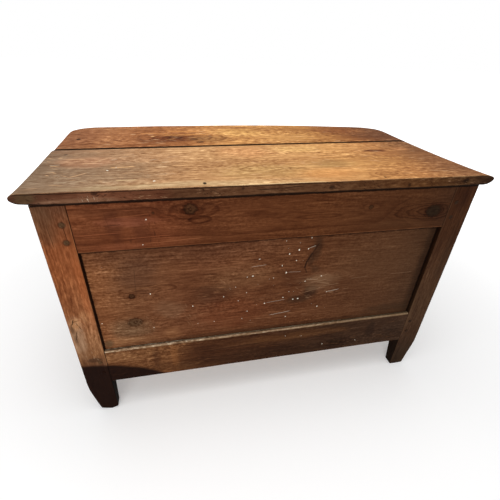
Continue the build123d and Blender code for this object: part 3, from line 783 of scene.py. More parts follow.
def tones_along(tree, place, tones):
    """A colour that passes through the tones written for the places along a board."""
    colour = tones[0][1]
    for (before, _), (after, tone) in zip(tones, tones[1:]):
        colour = mix(tree, ramp(tree, place, before, after, smooth=False), colour, tone)
    return colour if len(tones) > 1 else mix(tree, 0.0, colour, colour)


BUMP = {"Strength": 0.5, "Distance": 0.0006}
WOOD_SHINE = 0.04
LOOKS_UP = (0.35, 0.85)  # from how far up a face looks, to where it counts as fully so
LOOKS_DOWN = (-0.98, -0.9)


def pine(
    name,
    tones,
    plane="xz",
    along="x",
    edge=None,
    ring_width=0.0055,
    bend=0.022,
    rings=0.45,
    streak=1.6,
    mottle=1.6,
    fibre=0.8,
    cloud=1.2,
    lines=0.5,
    mottle_scale=(38, 95, 95),
    line_scale=(14, 260, 260),
    lively=None,
    knots=(),
    looped=(),
    stains_and_shadows=(),
    scuffed=(),
    flecked=None,
    splashes=(),
    splits=(),
    joint=None,
    shade_and_joints=None,
    rub_and_highlight=None,
    ledge=None,
    inner=(0, 0),
    below=None,
    raw=None,
    roughness=0.6,
):
    """Old pine. tones are the colours along the board and edge those of faces that
    don't look up; on the front of the case the tones darken to the right, mostly with
    painted shade. rings, streak, mottle, fibre, cloud and lines say how deep each part of
    the figure goes, and lively carries that depth from one place to another along the
    board. knots are (x, y, radii, flow radii, push), looped are (x, y, radii, turns,
    squeeze, strength), stains are (x, y, radii, ragged, soft, strength, tone) and also carry
    painted shadow and shade, scuffed are (x, y, radii, turn, scale, strength, tone),
    splashes are (x, y, size), splits are (plane, x, y, half length, lean, waver, width,
    strength, tone), and flecked is (x, y, radii, crowd). A stain or scuff may end with a
    plane, for the faces that don't look up. joint is the place across, the lean and the
    width of a dark open joint beside the board, grime is the corners and widths of a recess,
    painted near black as shade in its corners and under the lid and as dark joint lines,
    rub is the tone and strength of worn arrises, paler with wear and with a painted
    highlight, ledge the tones and depth of a narrow face that looks up, paler with dust and
    with painted light and painted black as shadow from that depth back, inner the way that
    the wall of a recess looks along X and how dark it is painted as shade, below the tone of
    faces that look down, with the lower front arris of a lid painted dark as shadow, and raw
    that of faces that look to the middle of the chest."""
    material, tree = new_material(name)
    grain = add(tree, "ShaderNodeAttribute", attribute_name="grain").outputs["Vector"]
    face = face_vector(tree, plane)
    place = part_of(tree, "Object", along)

    push = 0.0
    cores = []
    for x, y, radii, flow, amount in knots:
        found = use(
            tree, KNOT, Face=face, Centre=(x, y, 0), Radii=(*radii, 1), Flow=(*flow, 1), Push=amount
        )
        push = maths(tree, "ADD", found["Push"], push)
        cores.append(found)
    seen = use(
        tree,
        FIGURE,
        Grain=grain,
        Push=push,
        Ring_Width=ring_width,
        Wander=bend,
        Mottle_Scale=mottle_scale,
        Line_Scale=line_scale,
    )

    colour = tones_along(tree, place, tones)
    up = part_of(tree, "Normal", "z")
    flat, upright = 1.0, 1.0  # shares of the faces that look up, and of the rest
    if edge:
        flat = ramp(tree, up, *LOOKS_UP)
        upright = maths(tree, "SUBTRACT", 1.0, flat)
        colour = mix(tree, flat, tones_along(tree, place, edge), colour)
    if below:
        under = ramp(tree, up, *LOOKS_DOWN, 1.0, 0.0)
        colour = mix(tree, under, colour, below)
        upright = maths(tree, "SUBTRACT", upright, under)
    if raw:
        own = add(tree, "ShaderNodeTexCoord").outputs
        middle = vector_maths(tree, "ADD", own["Object"], (0, -MIDDLE_Y, 0))
        middle = stretched(tree, middle, (-1, -1, 0))
        both = {0: own["Normal"], 1: middle}
        looks = add(tree, "ShaderNodeVectorMath", both, operation="DOT_PRODUCT").outputs["Value"]
        colour = mix(tree, ramp(tree, looks, 0.12, 0.18), colour, raw)
    # Faces that look up take the ledge tones: paler with dust and with painted light.
    if ledge:
        top = ramp(tree, up, 0.35, 0.6)
        colour = mix(tree, top, colour, tones_along(tree, place, ledge[0]))
    depth = maths(tree, "MULTIPLY_ADD", seen["Late"], rings, -0.25 * rings)
    for label, reach in (("Streak", streak), ("Mottle", mottle), ("Fibre", fibre), ("Cloud", cloud)):
        depth = maths(tree, "ADD", depth, about_zero(tree, seen[label], -reach))
    depth = maths(tree, "MULTIPLY_ADD", seen["Lines"], lines, depth)
    if lively:
        (before, strong), (after, weak) = lively
        depth = maths(tree, "MULTIPLY", depth, ramp(tree, place, before, after, strong, weak))
    for x, y, radii, turns, squeeze, strength in looped:
        mask = use(
            tree, LOOPS, Face=face, Centre=(x, y, 0), Radii=(*radii, 1), Turns=turns, Squeeze=squeeze
        )["Mask"]
        depth = maths(tree, "MULTIPLY_ADD", mask, strength, depth)
    for found in cores:
        colour = mix(tree, maths(tree, "MULTIPLY", found["Core"], 0.7), colour, KNOT_BROWN)
        depth = maths(tree, "MULTIPLY_ADD", found["Halo"], 0.25, depth)
        depth = maths(tree, "MULTIPLY_ADD", found["Rings"], 0.75, depth)
    # Painted shadows in the list hide the wood's figure as stains do.
    cover = 0.0  # how much a stain hides the wood
    for x, y, radii, ragged, soft, strength, tone, *other in stains_and_shadows:
        where = face_vector(tree, other[0]) if other else face
        mask = patch_on(tree, where, x, y, radii, ragged, soft)
        mask = maths(tree, "MULTIPLY", maths(tree, "MULTIPLY", mask, upright if other else flat), strength)
        colour = mix(tree, mask, colour, tone)
        cover = maths(tree, "MAXIMUM", mask, cover)
    calm = maths(tree, "MULTIPLY", depth, maths(tree, "MULTIPLY_ADD", cover, -0.4, 1.0))
    colour = use(tree, TONE_DEPTH, Colour=colour, Depth=calm)["Colour"]

    # Worn arrises: paler with wear and with a painted highlight.
    if rub_and_highlight:
        worn = use(tree, ARRIS_WEAR_AND_HIGHLIGHT, Grain=grain)["Mask"]
        seen_above = ramp(tree, up, -0.1, 0.2) if below else ramp(tree, up, -0.9, -0.5)
        worn = maths(tree, "MULTIPLY", worn, maths(tree, "SUBTRACT", seen_above, cover, clamp=True))
        colour = mix(tree, maths(tree, "MULTIPLY", worn, rub_and_highlight[1]), colour, rub_and_highlight[0])
    height = maths(tree, "MULTIPLY", seen["Late"], 0.5)
    height = maths(tree, "MULTIPLY_ADD", seen["Streak"], 0.8, height)
    height = maths(tree, "MULTIPLY_ADD", seen["Lines"], -0.4, height)
    for x, y, radii, turn, scale, strength, tone, *other in scuffed:
        where = face_vector(tree, other[0]) if other else face
        patch = patch_on(tree, where, x, y, radii, 1.2, 0.6)
        marks = use(tree, SCUFFS, Face=where, Turn=turn, Scale=(*scale, 1))["Mask"]
        patch = maths(tree, "MULTIPLY", patch, upright if other else flat)
        marks = maths(tree, "MULTIPLY", marks, patch)
        colour = mix(tree, maths(tree, "MULTIPLY", marks, strength), colour, tone)
    for axes, x, y, half, lean, waver, width, strength, tone in splits:
        line = line_on(tree, face_vector(tree, axes), x, y, half, lean, waver, width)
        line = maths(tree, "MULTIPLY", line, flat if set(axes) == set(plane) else upright)
        colour = mix(tree, maths(tree, "MULTIPLY", line, strength), colour, tone)
    if joint:
        line = line_on(tree, face_vector(tree, "yx"), joint[0], 0, 2.0, joint[1], 0.003, joint[2])
        colour = mix(tree, line, colour, SHADE_AND_CRACK_BLACK)
    # Painted shade: the walls of a recess that face along X, darkened towards black.
    if inner[0]:
        wall = ramp(tree, maths(tree, "MULTIPLY", part_of(tree, "Normal", "x"), inner[0]), 0.5, 0.9)
        colour = mix(tree, maths(tree, "MULTIPLY", wall, inner[1]), colour, SHADE_AND_CRACK_BLACK)
    # Painted shadow: the lower front arris of a lid board, where it turns down, darkened near black.
    if below:
        turned = ramp(tree, up, -0.30, -0.04, 1.0, 0.0)
        turned = maths(tree, "MULTIPLY", turned, ramp(tree, up, *LOOKS_DOWN))
        front = ramp(tree, part_of(tree, "Object", "y"), LID_FRONT + 0.006, LID_FRONT + 0.012, 1.0, 0.0)
        turned = maths(tree, "MULTIPLY", turned, front)
        colour = mix(tree, maths(tree, "MULTIPLY", turned, 0.9), colour, SHADE_AND_CRACK_BLACK)
    # Painted shadow: a ledge darkened towards black behind its lip.
    if ledge and ledge[1]:
        lip = FACE_Y + ledge[1]
        behind = ramp(tree, part_of(tree, "Object", "y"), lip, lip + 0.0015, 0.0, 0.6)
        colour = mix(tree, maths(tree, "MULTIPLY", behind, top), colour, SHADE_AND_CRACK_BLACK)
    # Painted shade, near black, in the corners of a recess and under the lid, and dark joint lines.
    if shade_and_joints:
        low, high, low_width, high_width, *above = shade_and_joints
        shade_and_joint_mask = use(
            tree,
            CORNER_SHADE_AND_JOINTS,
            Face=face,
            Low=(*low, 0),
            High=(*high, 0),
            Low_Width=(*low_width, 1),
            High_Width=(*high_width, 1),
            Above=above[0] if above else 1.0,
        )["Mask"]
        shade_and_joint_mask = maths(tree, "MULTIPLY", shade_and_joint_mask, ramp(tree, up, 0.5, 0.9, 0.93, 0.0))
        colour = mix(tree, shade_and_joint_mask, colour, SHADE_AND_CRACK_BLACK)
    if flecked:
        x, y, radii, crowd = flecked
        near = patch_on(tree, face, x, y, radii, 0.8, 0.7)
        many = maths(tree, "MULTIPLY_ADD", near, crowd, 0.002)
        spots = use(tree, FLECKS, Face=face, Scale=95.0, Crowd=many)["Mask"]
        colour = mix(tree, maths(tree, "MULTIPLY", spots, 0.8), colour, PAINT)
    for x, y, size in splashes:
        spot = use(tree, SPLASH, Face=face, Centre=(x, y, 0), Size=size)["Mask"]
        colour = mix(tree, spot, colour, PAINT)

    gloss = maths(tree, "MULTIPLY_ADD", seen["Cloud"], 0.2, roughness - 0.1)
    bump = add(tree, "ShaderNodeBump", {"Height": height, **BUMP}).outputs["Normal"]
    shader = add(
        tree,
        "ShaderNodeBsdfPrincipled",
        {"Base Color": colour, "Roughness": gloss, "Normal": bump, "Specular IOR Level": WOOD_SHINE},
    )
    add(tree, "ShaderNodeOutputMaterial", {"Surface": shader.outputs[0]})
    return material


# Near black: painted shade in recesses, under the lid, on inner walls and on the lid's lower front arris,
# and the dark of cracks, holes and open joints.
SHADE_AND_CRACK_BLACK = (14, 5, 2)
# Dark brown of the painted shadow over the left foot, and of the darkened feet of the rear posts.
DARK_FOOT_BROWN = (25, 8, 3)
KNOT_BROWN = (68, 48, 29)
PAINT = (238, 228, 208)
PALE_SCUFF = (222, 176, 132)
GREY_SCUFF = (190, 166, 138)
RUST_SCUFF = (150, 92, 54)
FINE_MOTTLE = (70, 210, 210)
ALONG_LINES = (14, 230, 230)

LID_FRONT_PINE = pine(
    "lid_front_pine",
    [
        (-0.54, (132, 100, 76)),
        (-0.42, (168, 125, 90)),
        (-0.06, (190, 140, 90)),
        (0.22, (194, 138, 82)),
        (0.36, (176, 119, 70)),
        (0.48, (140, 95, 60)),
    ],
    plane="xy",
    edge=[
        (-0.54, (74, 46, 31)),
        (-0.40, (98, 58, 38)),
        (-0.27, (92, 54, 35)),
        (-0.24, (86, 55, 35)),
        (0.10, (84, 54, 33)),
        (0.36, (84, 52, 27)),
        (0.53, (46, 27, 14)),
    ],
    ring_width=0.010,
    bend=0.05,
    streak=1.0,
    mottle=2.0,
    fibre=0.6,
    lines=0.36,
    mottle_scale=(62, 95, 160),
    line_scale=(26, 110, 230),
    looped=[(-0.02, -0.185, (0.09, 0.035), 4.0, 0.0, 0.4), (0.270, -0.245, (0.05, 0.02), 3.0, 0.0, 0.5)],
    stains_and_shadows=[
        (-0.50, -0.200, (0.20, 0.16), 1.6, 0.6, 0.6, (128, 108, 86)),
        (-0.442, -0.100, (0.07, 0.035), 1.6, 0.5, 0.5, (194, 138, 102)),
        (-0.300, -0.080, (0.08, 0.030), 1.8, 0.6, 0.35, (186, 138, 98)),
        (-0.200, -0.268, (0.20, 0.015), 1.6, 0.7, 0.45, (208, 182, 138)),
        (-0.044, -0.038, (0.07, 0.050), 1.6, 0.6, 0.45, (205, 140, 90)),
        (0.115, -0.023, (0.07, 0.030), 1.6, 0.6, 0.5, (222, 174, 108)),
        (-0.015, -0.200, (0.12, 0.045), 1.6, 0.6, 0.45, (178, 142, 88)),
        (0.122, -0.228, (0.07, 0.030), 1.6, 0.6, 0.45, (216, 146, 82)),
        (0.165, -0.160, (0.055, 0.030), 1.5, 0.6, 0.55, (142, 108, 64)),
        (0.300, -0.150, (0.10, 0.05), 1.8, 0.6, 0.35, (204, 150, 88)),
        (0.437, -0.044, (0.025, 0.014), 1.2, 0.5, 0.5, (210, 146, 96)),
        (0.500, -0.170, (0.08, 0.11), 1.6, 0.6, 0.4, (130, 82, 50)),
        (0.345, -0.056, (0.036, 0.010), 1.2, 0.4, 0.95, (98, 50, 26)),
        (-0.178, -0.266, (0.004, 0.006), 0.3, 0.3, 0.95, SHADE_AND_CRACK_BLACK),
        (-0.504, -0.036, (0.005, 0.005), 0.4, 0.3, 0.6, SHADE_AND_CRACK_BLACK),
        (0.252, -0.271, (0.003, 0.004), 0.4, 0.3, 0.8, SHADE_AND_CRACK_BLACK),
        (-0.524, 0.692, (0.016, 0.010), 3.0, 0.5, 0.6, (84, 66, 44), "xz"),
        (-0.400, 0.697, (0.005, 0.003), 3.0, 0.5, 0.6, SHADE_AND_CRACK_BLACK, "xz"),
        (-0.097, 0.695, (0.004, 0.004), 3.0, 0.5, 0.6, SHADE_AND_CRACK_BLACK, "xz"),
        (0.112, 0.688, (0.006, 0.005), 3.0, 0.5, 0.6, SHADE_AND_CRACK_BLACK, "xz"),
        (0.314, 0.685, (0.005, 0.005), 3.0, 0.5, 0.6, SHADE_AND_CRACK_BLACK, "xz"),
        (0.473, 0.691, (0.009, 0.006), 2.4, 0.5, 0.7, SHADE_AND_CRACK_BLACK, "xz"),
        (-0.43, 0.682, (0.07, 0.006), 1.2, 0.5, 0.4, (140, 104, 78), "xz"),
    ],
    scuffed=[
        (-0.05, -0.14, (0.9, 0.4), 0.0, (22, 120), 0.5, PALE_SCUFF),
        (-0.44, -0.13, (0.14, 0.12), 0.5, (40, 140), 0.9, PALE_SCUFF),
        (-0.34, -0.10, (0.20, 0.10), -0.35, (34, 130), 0.75, GREY_SCUFF),
        (0.00, -0.15, (0.22, 0.10), 0.4, (38, 140), 0.7, PALE_SCUFF),
        (0.12, -0.08, (0.20, 0.08), -0.25, (30, 120), 0.6, (232, 190, 130)),
        (0.30, -0.14, (0.20, 0.12), -0.2, (30, 120), 0.6, RUST_SCUFF),
        (-0.42, 0.683, (0.05, 0.008), 1.35, (90, 420), 1.0, (206, 184, 156), "xz"),
        (0.0, 0.69, (0.9, 0.08), 0.12, (60, 420), 0.8, (152, 116, 86), "xz"),
        (0.0, 0.69, (0.9, 0.08), -0.3, (90, 300), 0.9, (40, 22, 12), "xz"),
        (0.1, 0.69, (0.9, 0.08), 0.5, (110, 280), 0.9, (36, 20, 11), "xz"),
    ],
    splashes=[(-0.389, -0.164, 0.0030), (-0.284, -0.242, 0.0034), (-0.372, -0.146, 0.0018)],
    splits=[
        ("zx", 0.6998, -0.20, 0.42, 0.0, 0.0030, 0.0016, 0.8, SHADE_AND_CRACK_BLACK),
        ("zx", 0.6920, -0.01, 0.06, 0.04, 0.0060, 0.0012, 0.7, SHADE_AND_CRACK_BLACK),
        ("zx", 0.6880, -0.02, 0.05, -0.06, 0.0060, 0.0012, 0.6, SHADE_AND_CRACK_BLACK),
        ("yx", -0.144, -0.358, 0.030, 0.10, 0.010, 0.0034, 0.9, (232, 182, 128)),
        ("yx", -0.142, -0.218, 0.030, 0.06, 0.010, 0.0034, 0.8, (232, 182, 128)),
        ("yx", -0.117, -0.510, 0.012, 0.15, 0.008, 0.0030, 0.8, (186, 164, 138)),
        ("yx", -0.110, -0.436, 0.018, 0.20, 0.010, 0.0032, 0.8, PALE_SCUFF),
        ("yx", -0.078, -0.474, 0.020, -0.10, 0.010, 0.0030, 0.6, PALE_SCUFF),
        ("yx", -0.085, -0.318, 0.020, 0.0, 0.010, 0.0032, 0.8, PALE_SCUFF),
        ("yx", -0.232, -0.342, 0.024, 0.05, 0.010, 0.0034, 0.7, (222, 190, 142)),
        ("yx", -0.198, -0.247, 0.014, -0.30, 0.008, 0.0032, 0.7, PALE_SCUFF),
        ("yx", -0.185, -0.335, 0.022, 0.15, 0.010, 0.0030, 0.5, PALE_SCUFF),
        ("yx", -0.233, -0.472, 0.014, 0.10, 0.008, 0.0030, 0.6, GREY_SCUFF),
        ("xy", -0.446, -0.191, 0.014, 1.2, 0.006, 0.0040, 0.7, PALE_SCUFF),
        ("xy", -0.414, -0.088, 0.016, 0.9, 0.006, 0.0036, 0.7, PALE_SCUFF),
        ("xy", -0.395, -0.069, 0.012, 0.9, 0.006, 0.0030, 0.5, PALE_SCUFF),
        ("yx", -0.047, -0.366, 0.024, -0.05, 0.004, 0.0030, 0.7, PALE_SCUFF),
        ("yx", -0.283, -0.02, 0.13, 0.0, 0.004, 0.0026, 0.8, (226, 196, 146)),
        ("yx", -0.285, 0.314, 0.020, 0.0, 0.003, 0.0024, 0.8, (216, 170, 120)),
    ],
    joint=(0.0290, 0.0342, 0.0112),
    # Worn arrises, paler with wear and with a painted highlight along the top.
    rub_and_highlight=((190, 148, 106), 0.35),
    # The underside's own tone; the lower front arris is also painted dark as shadow.
    below=(158, 116, 76),
)
LID_REAR = pine(
    "lid_rear_pine",
    [
        (-0.53, (138, 88, 56)),
        (-0.43, (164, 108, 68)),
        (-0.32, (156, 98, 58)),
        (-0.20, (168, 108, 62)),
        (-0.06, (196, 138, 80)),
        (0.22, (176, 120, 66)),
        (0.35, (148, 92, 50)),
        (0.47, (116, 73, 46)),
    ],
    plane="xy",
    edge=[(-0.5, (110, 70, 46)), (0.5, (70, 42, 25))],
    ring_width=0.012,
    bend=0.05,
    rings=0.6,
    streak=1.2,
    mottle=2.6,
    fibre=0.6,
    lines=0.5,
    mottle_scale=(52, 90, 150),
    line_scale=(22, 100, 220),
    knots=[
        (-0.230, 0.121, (0.022, 0.016), (0.14, 0.05), 0.05),
        (-0.175, 0.098, (0.012, 0.010), (0.05, 0.03), 0.02),
        (-0.158, 0.067, (0.010, 0.008), (0.05, 0.03), 0.02),
    ],
    looped=[(-0.19, 0.115, (0.16, 0.070), 4.0, 0.0, 0.8)],
    stains_and_shadows=[
        (-0.235, 0.110, (0.085, 0.036), 1.8, 0.5, 0.8, (104, 52, 26)),
        (-0.297, 0.138, (0.006, 0.006), 0.8, 0.3, 0.8, (226, 176, 122)),
        (-0.125, 0.101, (0.06, 0.040), 1.4, 0.5, 0.5, (156, 112, 66)),
        (-0.023, 0.180, (0.07, 0.050), 1.4, 0.6, 0.55, (222, 168, 98)),
        (0.120, 0.110, (0.08, 0.040), 1.6, 0.6, 0.4, (206, 152, 90)),
        (-0.048, 0.246, (0.09, 0.014), 1.2, 0.6, 0.6, (150, 92, 52)),
        (0.318, 0.195, (0.08, 0.045), 1.4, 0.6, 0.55, (128, 72, 40)),
        (0.440, 0.120, (0.10, 0.050), 1.4, 0.6, 0.5, (98, 58, 36)),
        (-0.50, 0.160, (0.06, 0.10), 1.4, 0.6, 0.5, (136, 84, 54)),
        (-0.503, 0.116, (0.006, 0.008), 0.3, 0.3, 0.95, SHADE_AND_CRACK_BLACK),
    ],
    scuffed=[
        (-0.05, 0.12, (0.9, 0.4), 0.0, (20, 110), 0.45, PALE_SCUFF),
        (-0.26, 0.14, (0.16, 0.10), 0.3, (34, 120), 1.0, PALE_SCUFF),
        (-0.18, 0.15, (0.16, 0.08), -0.1, (24, 100), 0.9, (230, 162, 96)),
        (-0.20, 0.12, (0.18, 0.08), 0.2, (26, 100), 0.8, (96, 48, 24)),
        (0.10, 0.10, (0.16, 0.06), 0.8, (24, 130), 0.5, PALE_SCUFF),
        (0.30, 0.14, (0.24, 0.10), -0.1, (24, 110), 0.5, RUST_SCUFF),
    ],
    splits=[
        ("yx", 0.155, -0.19, 0.09, 0.05, 0.020, 0.0050, 0.8, (230, 160, 88)),
        ("yx", 0.172, -0.29, 0.05, -0.15, 0.020, 0.0050, 0.7, (224, 154, 88)),
        ("yx", 0.200, -0.20, 0.06, -0.10, 0.020, 0.0060, 0.7, (226, 156, 86)),
        ("yx", 0.065, 0.11, 0.10, 0.03, 0.006, 0.0030, 0.7, (226, 176, 118)),
    ],
    joint=(0.0290, 0.0342, 0.0112),
    rub_and_highlight=((184, 138, 94), 0.35),
    below=(154, 110, 70),
)
RAW_PINE = (128, 90, 58)
JOINT = 0.0015
# Painted shadow: a dark band at the top of a post, under the lid's overhang.
SHADOW_UNDER_LID = ((-1, -1), (1, RAIL_HIGH[2]), (0.001, 0.001), (0.001, 0.0058))
# The tones darken to the right: mostly painted shade, light falling off across the front.
TOP_RAIL = pine(
    "top_rail_pine",
    [
        (-0.46, (98, 52, 28)),
        (-0.28, (98, 51, 28)),
        (-0.19, (86, 46, 24)),
        (0.08, (84, 46, 23)),
        (0.22, (78, 44, 23)),
        (0.36, (72, 41, 21)),
        (0.46, (58, 33, 18)),
    ],
    ring_width=0.010,
    bend=0.03,
    rings=0.7,
    streak=1.1,
    mottle=1.4,
    fibre=1.4,
    lines=0.34,
    mottle_scale=(140, 200, 200),
    line_scale=ALONG_LINES,
    lively=((0.0, 1.0), (0.40, 0.62)),
    knots=[
        (-0.212, 0.649, (0.015, 0.0135), (0.055, 0.026), 0.020),
        (0.416, 0.607, (0.023, 0.017), (0.10, 0.034), 0.040),
        (0.230, 0.628, (0.006, 0.005), (0.04, 0.012), 0.008),
        (-0.292, 0.644, (0.003, 0.003), (0.01, 0.01), 0.0),
    ],
    looped=[
        (-0.192, 0.622, (0.030, 0.011), 1.0, 0.0, 0.9),
        (-0.205, 0.645, (0.085, 0.034), 3.0, 0.0, 0.45),
        (0.425, 0.607, (0.160, 0.030), 5.0, 1.5, 0.6),
        (0.10, 0.612, (0.13, 0.012), 2.0, 0.0, 0.5),
    ],
    stains_and_shadows=[
        (-0.375, 0.610, (0.016, 0.045), 2.6, 0.5, 0.55, (66, 31, 17)),
        (-0.322, 0.600, (0.020, 0.035), 2.6, 0.5, 0.5, (68, 32, 17)),
        (-0.345, 0.625, (0.05, 0.010), 2.2, 0.5, 0.45, (128, 72, 50)),
        (-0.310, 0.655, (0.16, 0.012), 1.2, 0.6, 0.35, (74, 40, 22)),
        (-0.375, 0.565, (0.05, 0.008), 1.2, 0.6, 0.45, (128, 72, 46)),
        (0.33, 0.575, (0.07, 0.014), 1.4, 0.7, 0.35, (84, 54, 32)),
        (0.416, 0.607, (0.020, 0.0155), 0.35, 0.2, 0.85, (41, 29, 18)),
    ],
    scuffed=[
        (-0.35, 0.61, (0.11, 0.05), 1.50, (34, 150), 0.7, (58, 28, 15)),
        (-0.34, 0.60, (0.10, 0.04), 1.0, (60, 160), 0.5, (60, 29, 16)),
        (-0.36, 0.60, (0.12, 0.06), 0.05, (18, 240), 0.5, (138, 80, 50)),
        (0.10, 0.60, (0.40, 0.05), 0.05, (14, 240), 0.4, (112, 64, 36)),
    ],
    splashes=[(-0.308, 0.629, 0.0017), (-0.322, 0.567, 0.0010)],
    splits=[
        ("zx", 0.620, -0.380, 0.020, 0.05, 0.004, 0.0012, 0.6, SHADE_AND_CRACK_BLACK),
        ("zx", 0.600, -0.41, 0.05, 0.02, 0.003, 0.0009, 0.6, (150, 86, 54)),
        ("zx", 0.586, -0.31, 0.06, 0.03, 0.004, 0.0010, 0.6, (150, 86, 54)),
        ("zx", 0.572, -0.25, 0.07, 0.05, 0.004, 0.0010, 0.6, (150, 92, 58)),
        ("zx", 0.640, -0.34, 0.05, 0.06, 0.005, 0.0009, 0.6, (144, 84, 52)),
    ],
    # Painted shadow under the lid along the top, and dark joint lines at the posts.
    shade_and_joints=((-OPEN_X, -1), (OPEN_X, RAIL_HIGH[2]), (JOINT, 0.001), (JOINT, 0.0058)),
    # Worn arrises, paler with wear and with a painted highlight.
    rub_and_highlight=((124, 76, 44), 0.6),
    raw=RAW_PINE,
)
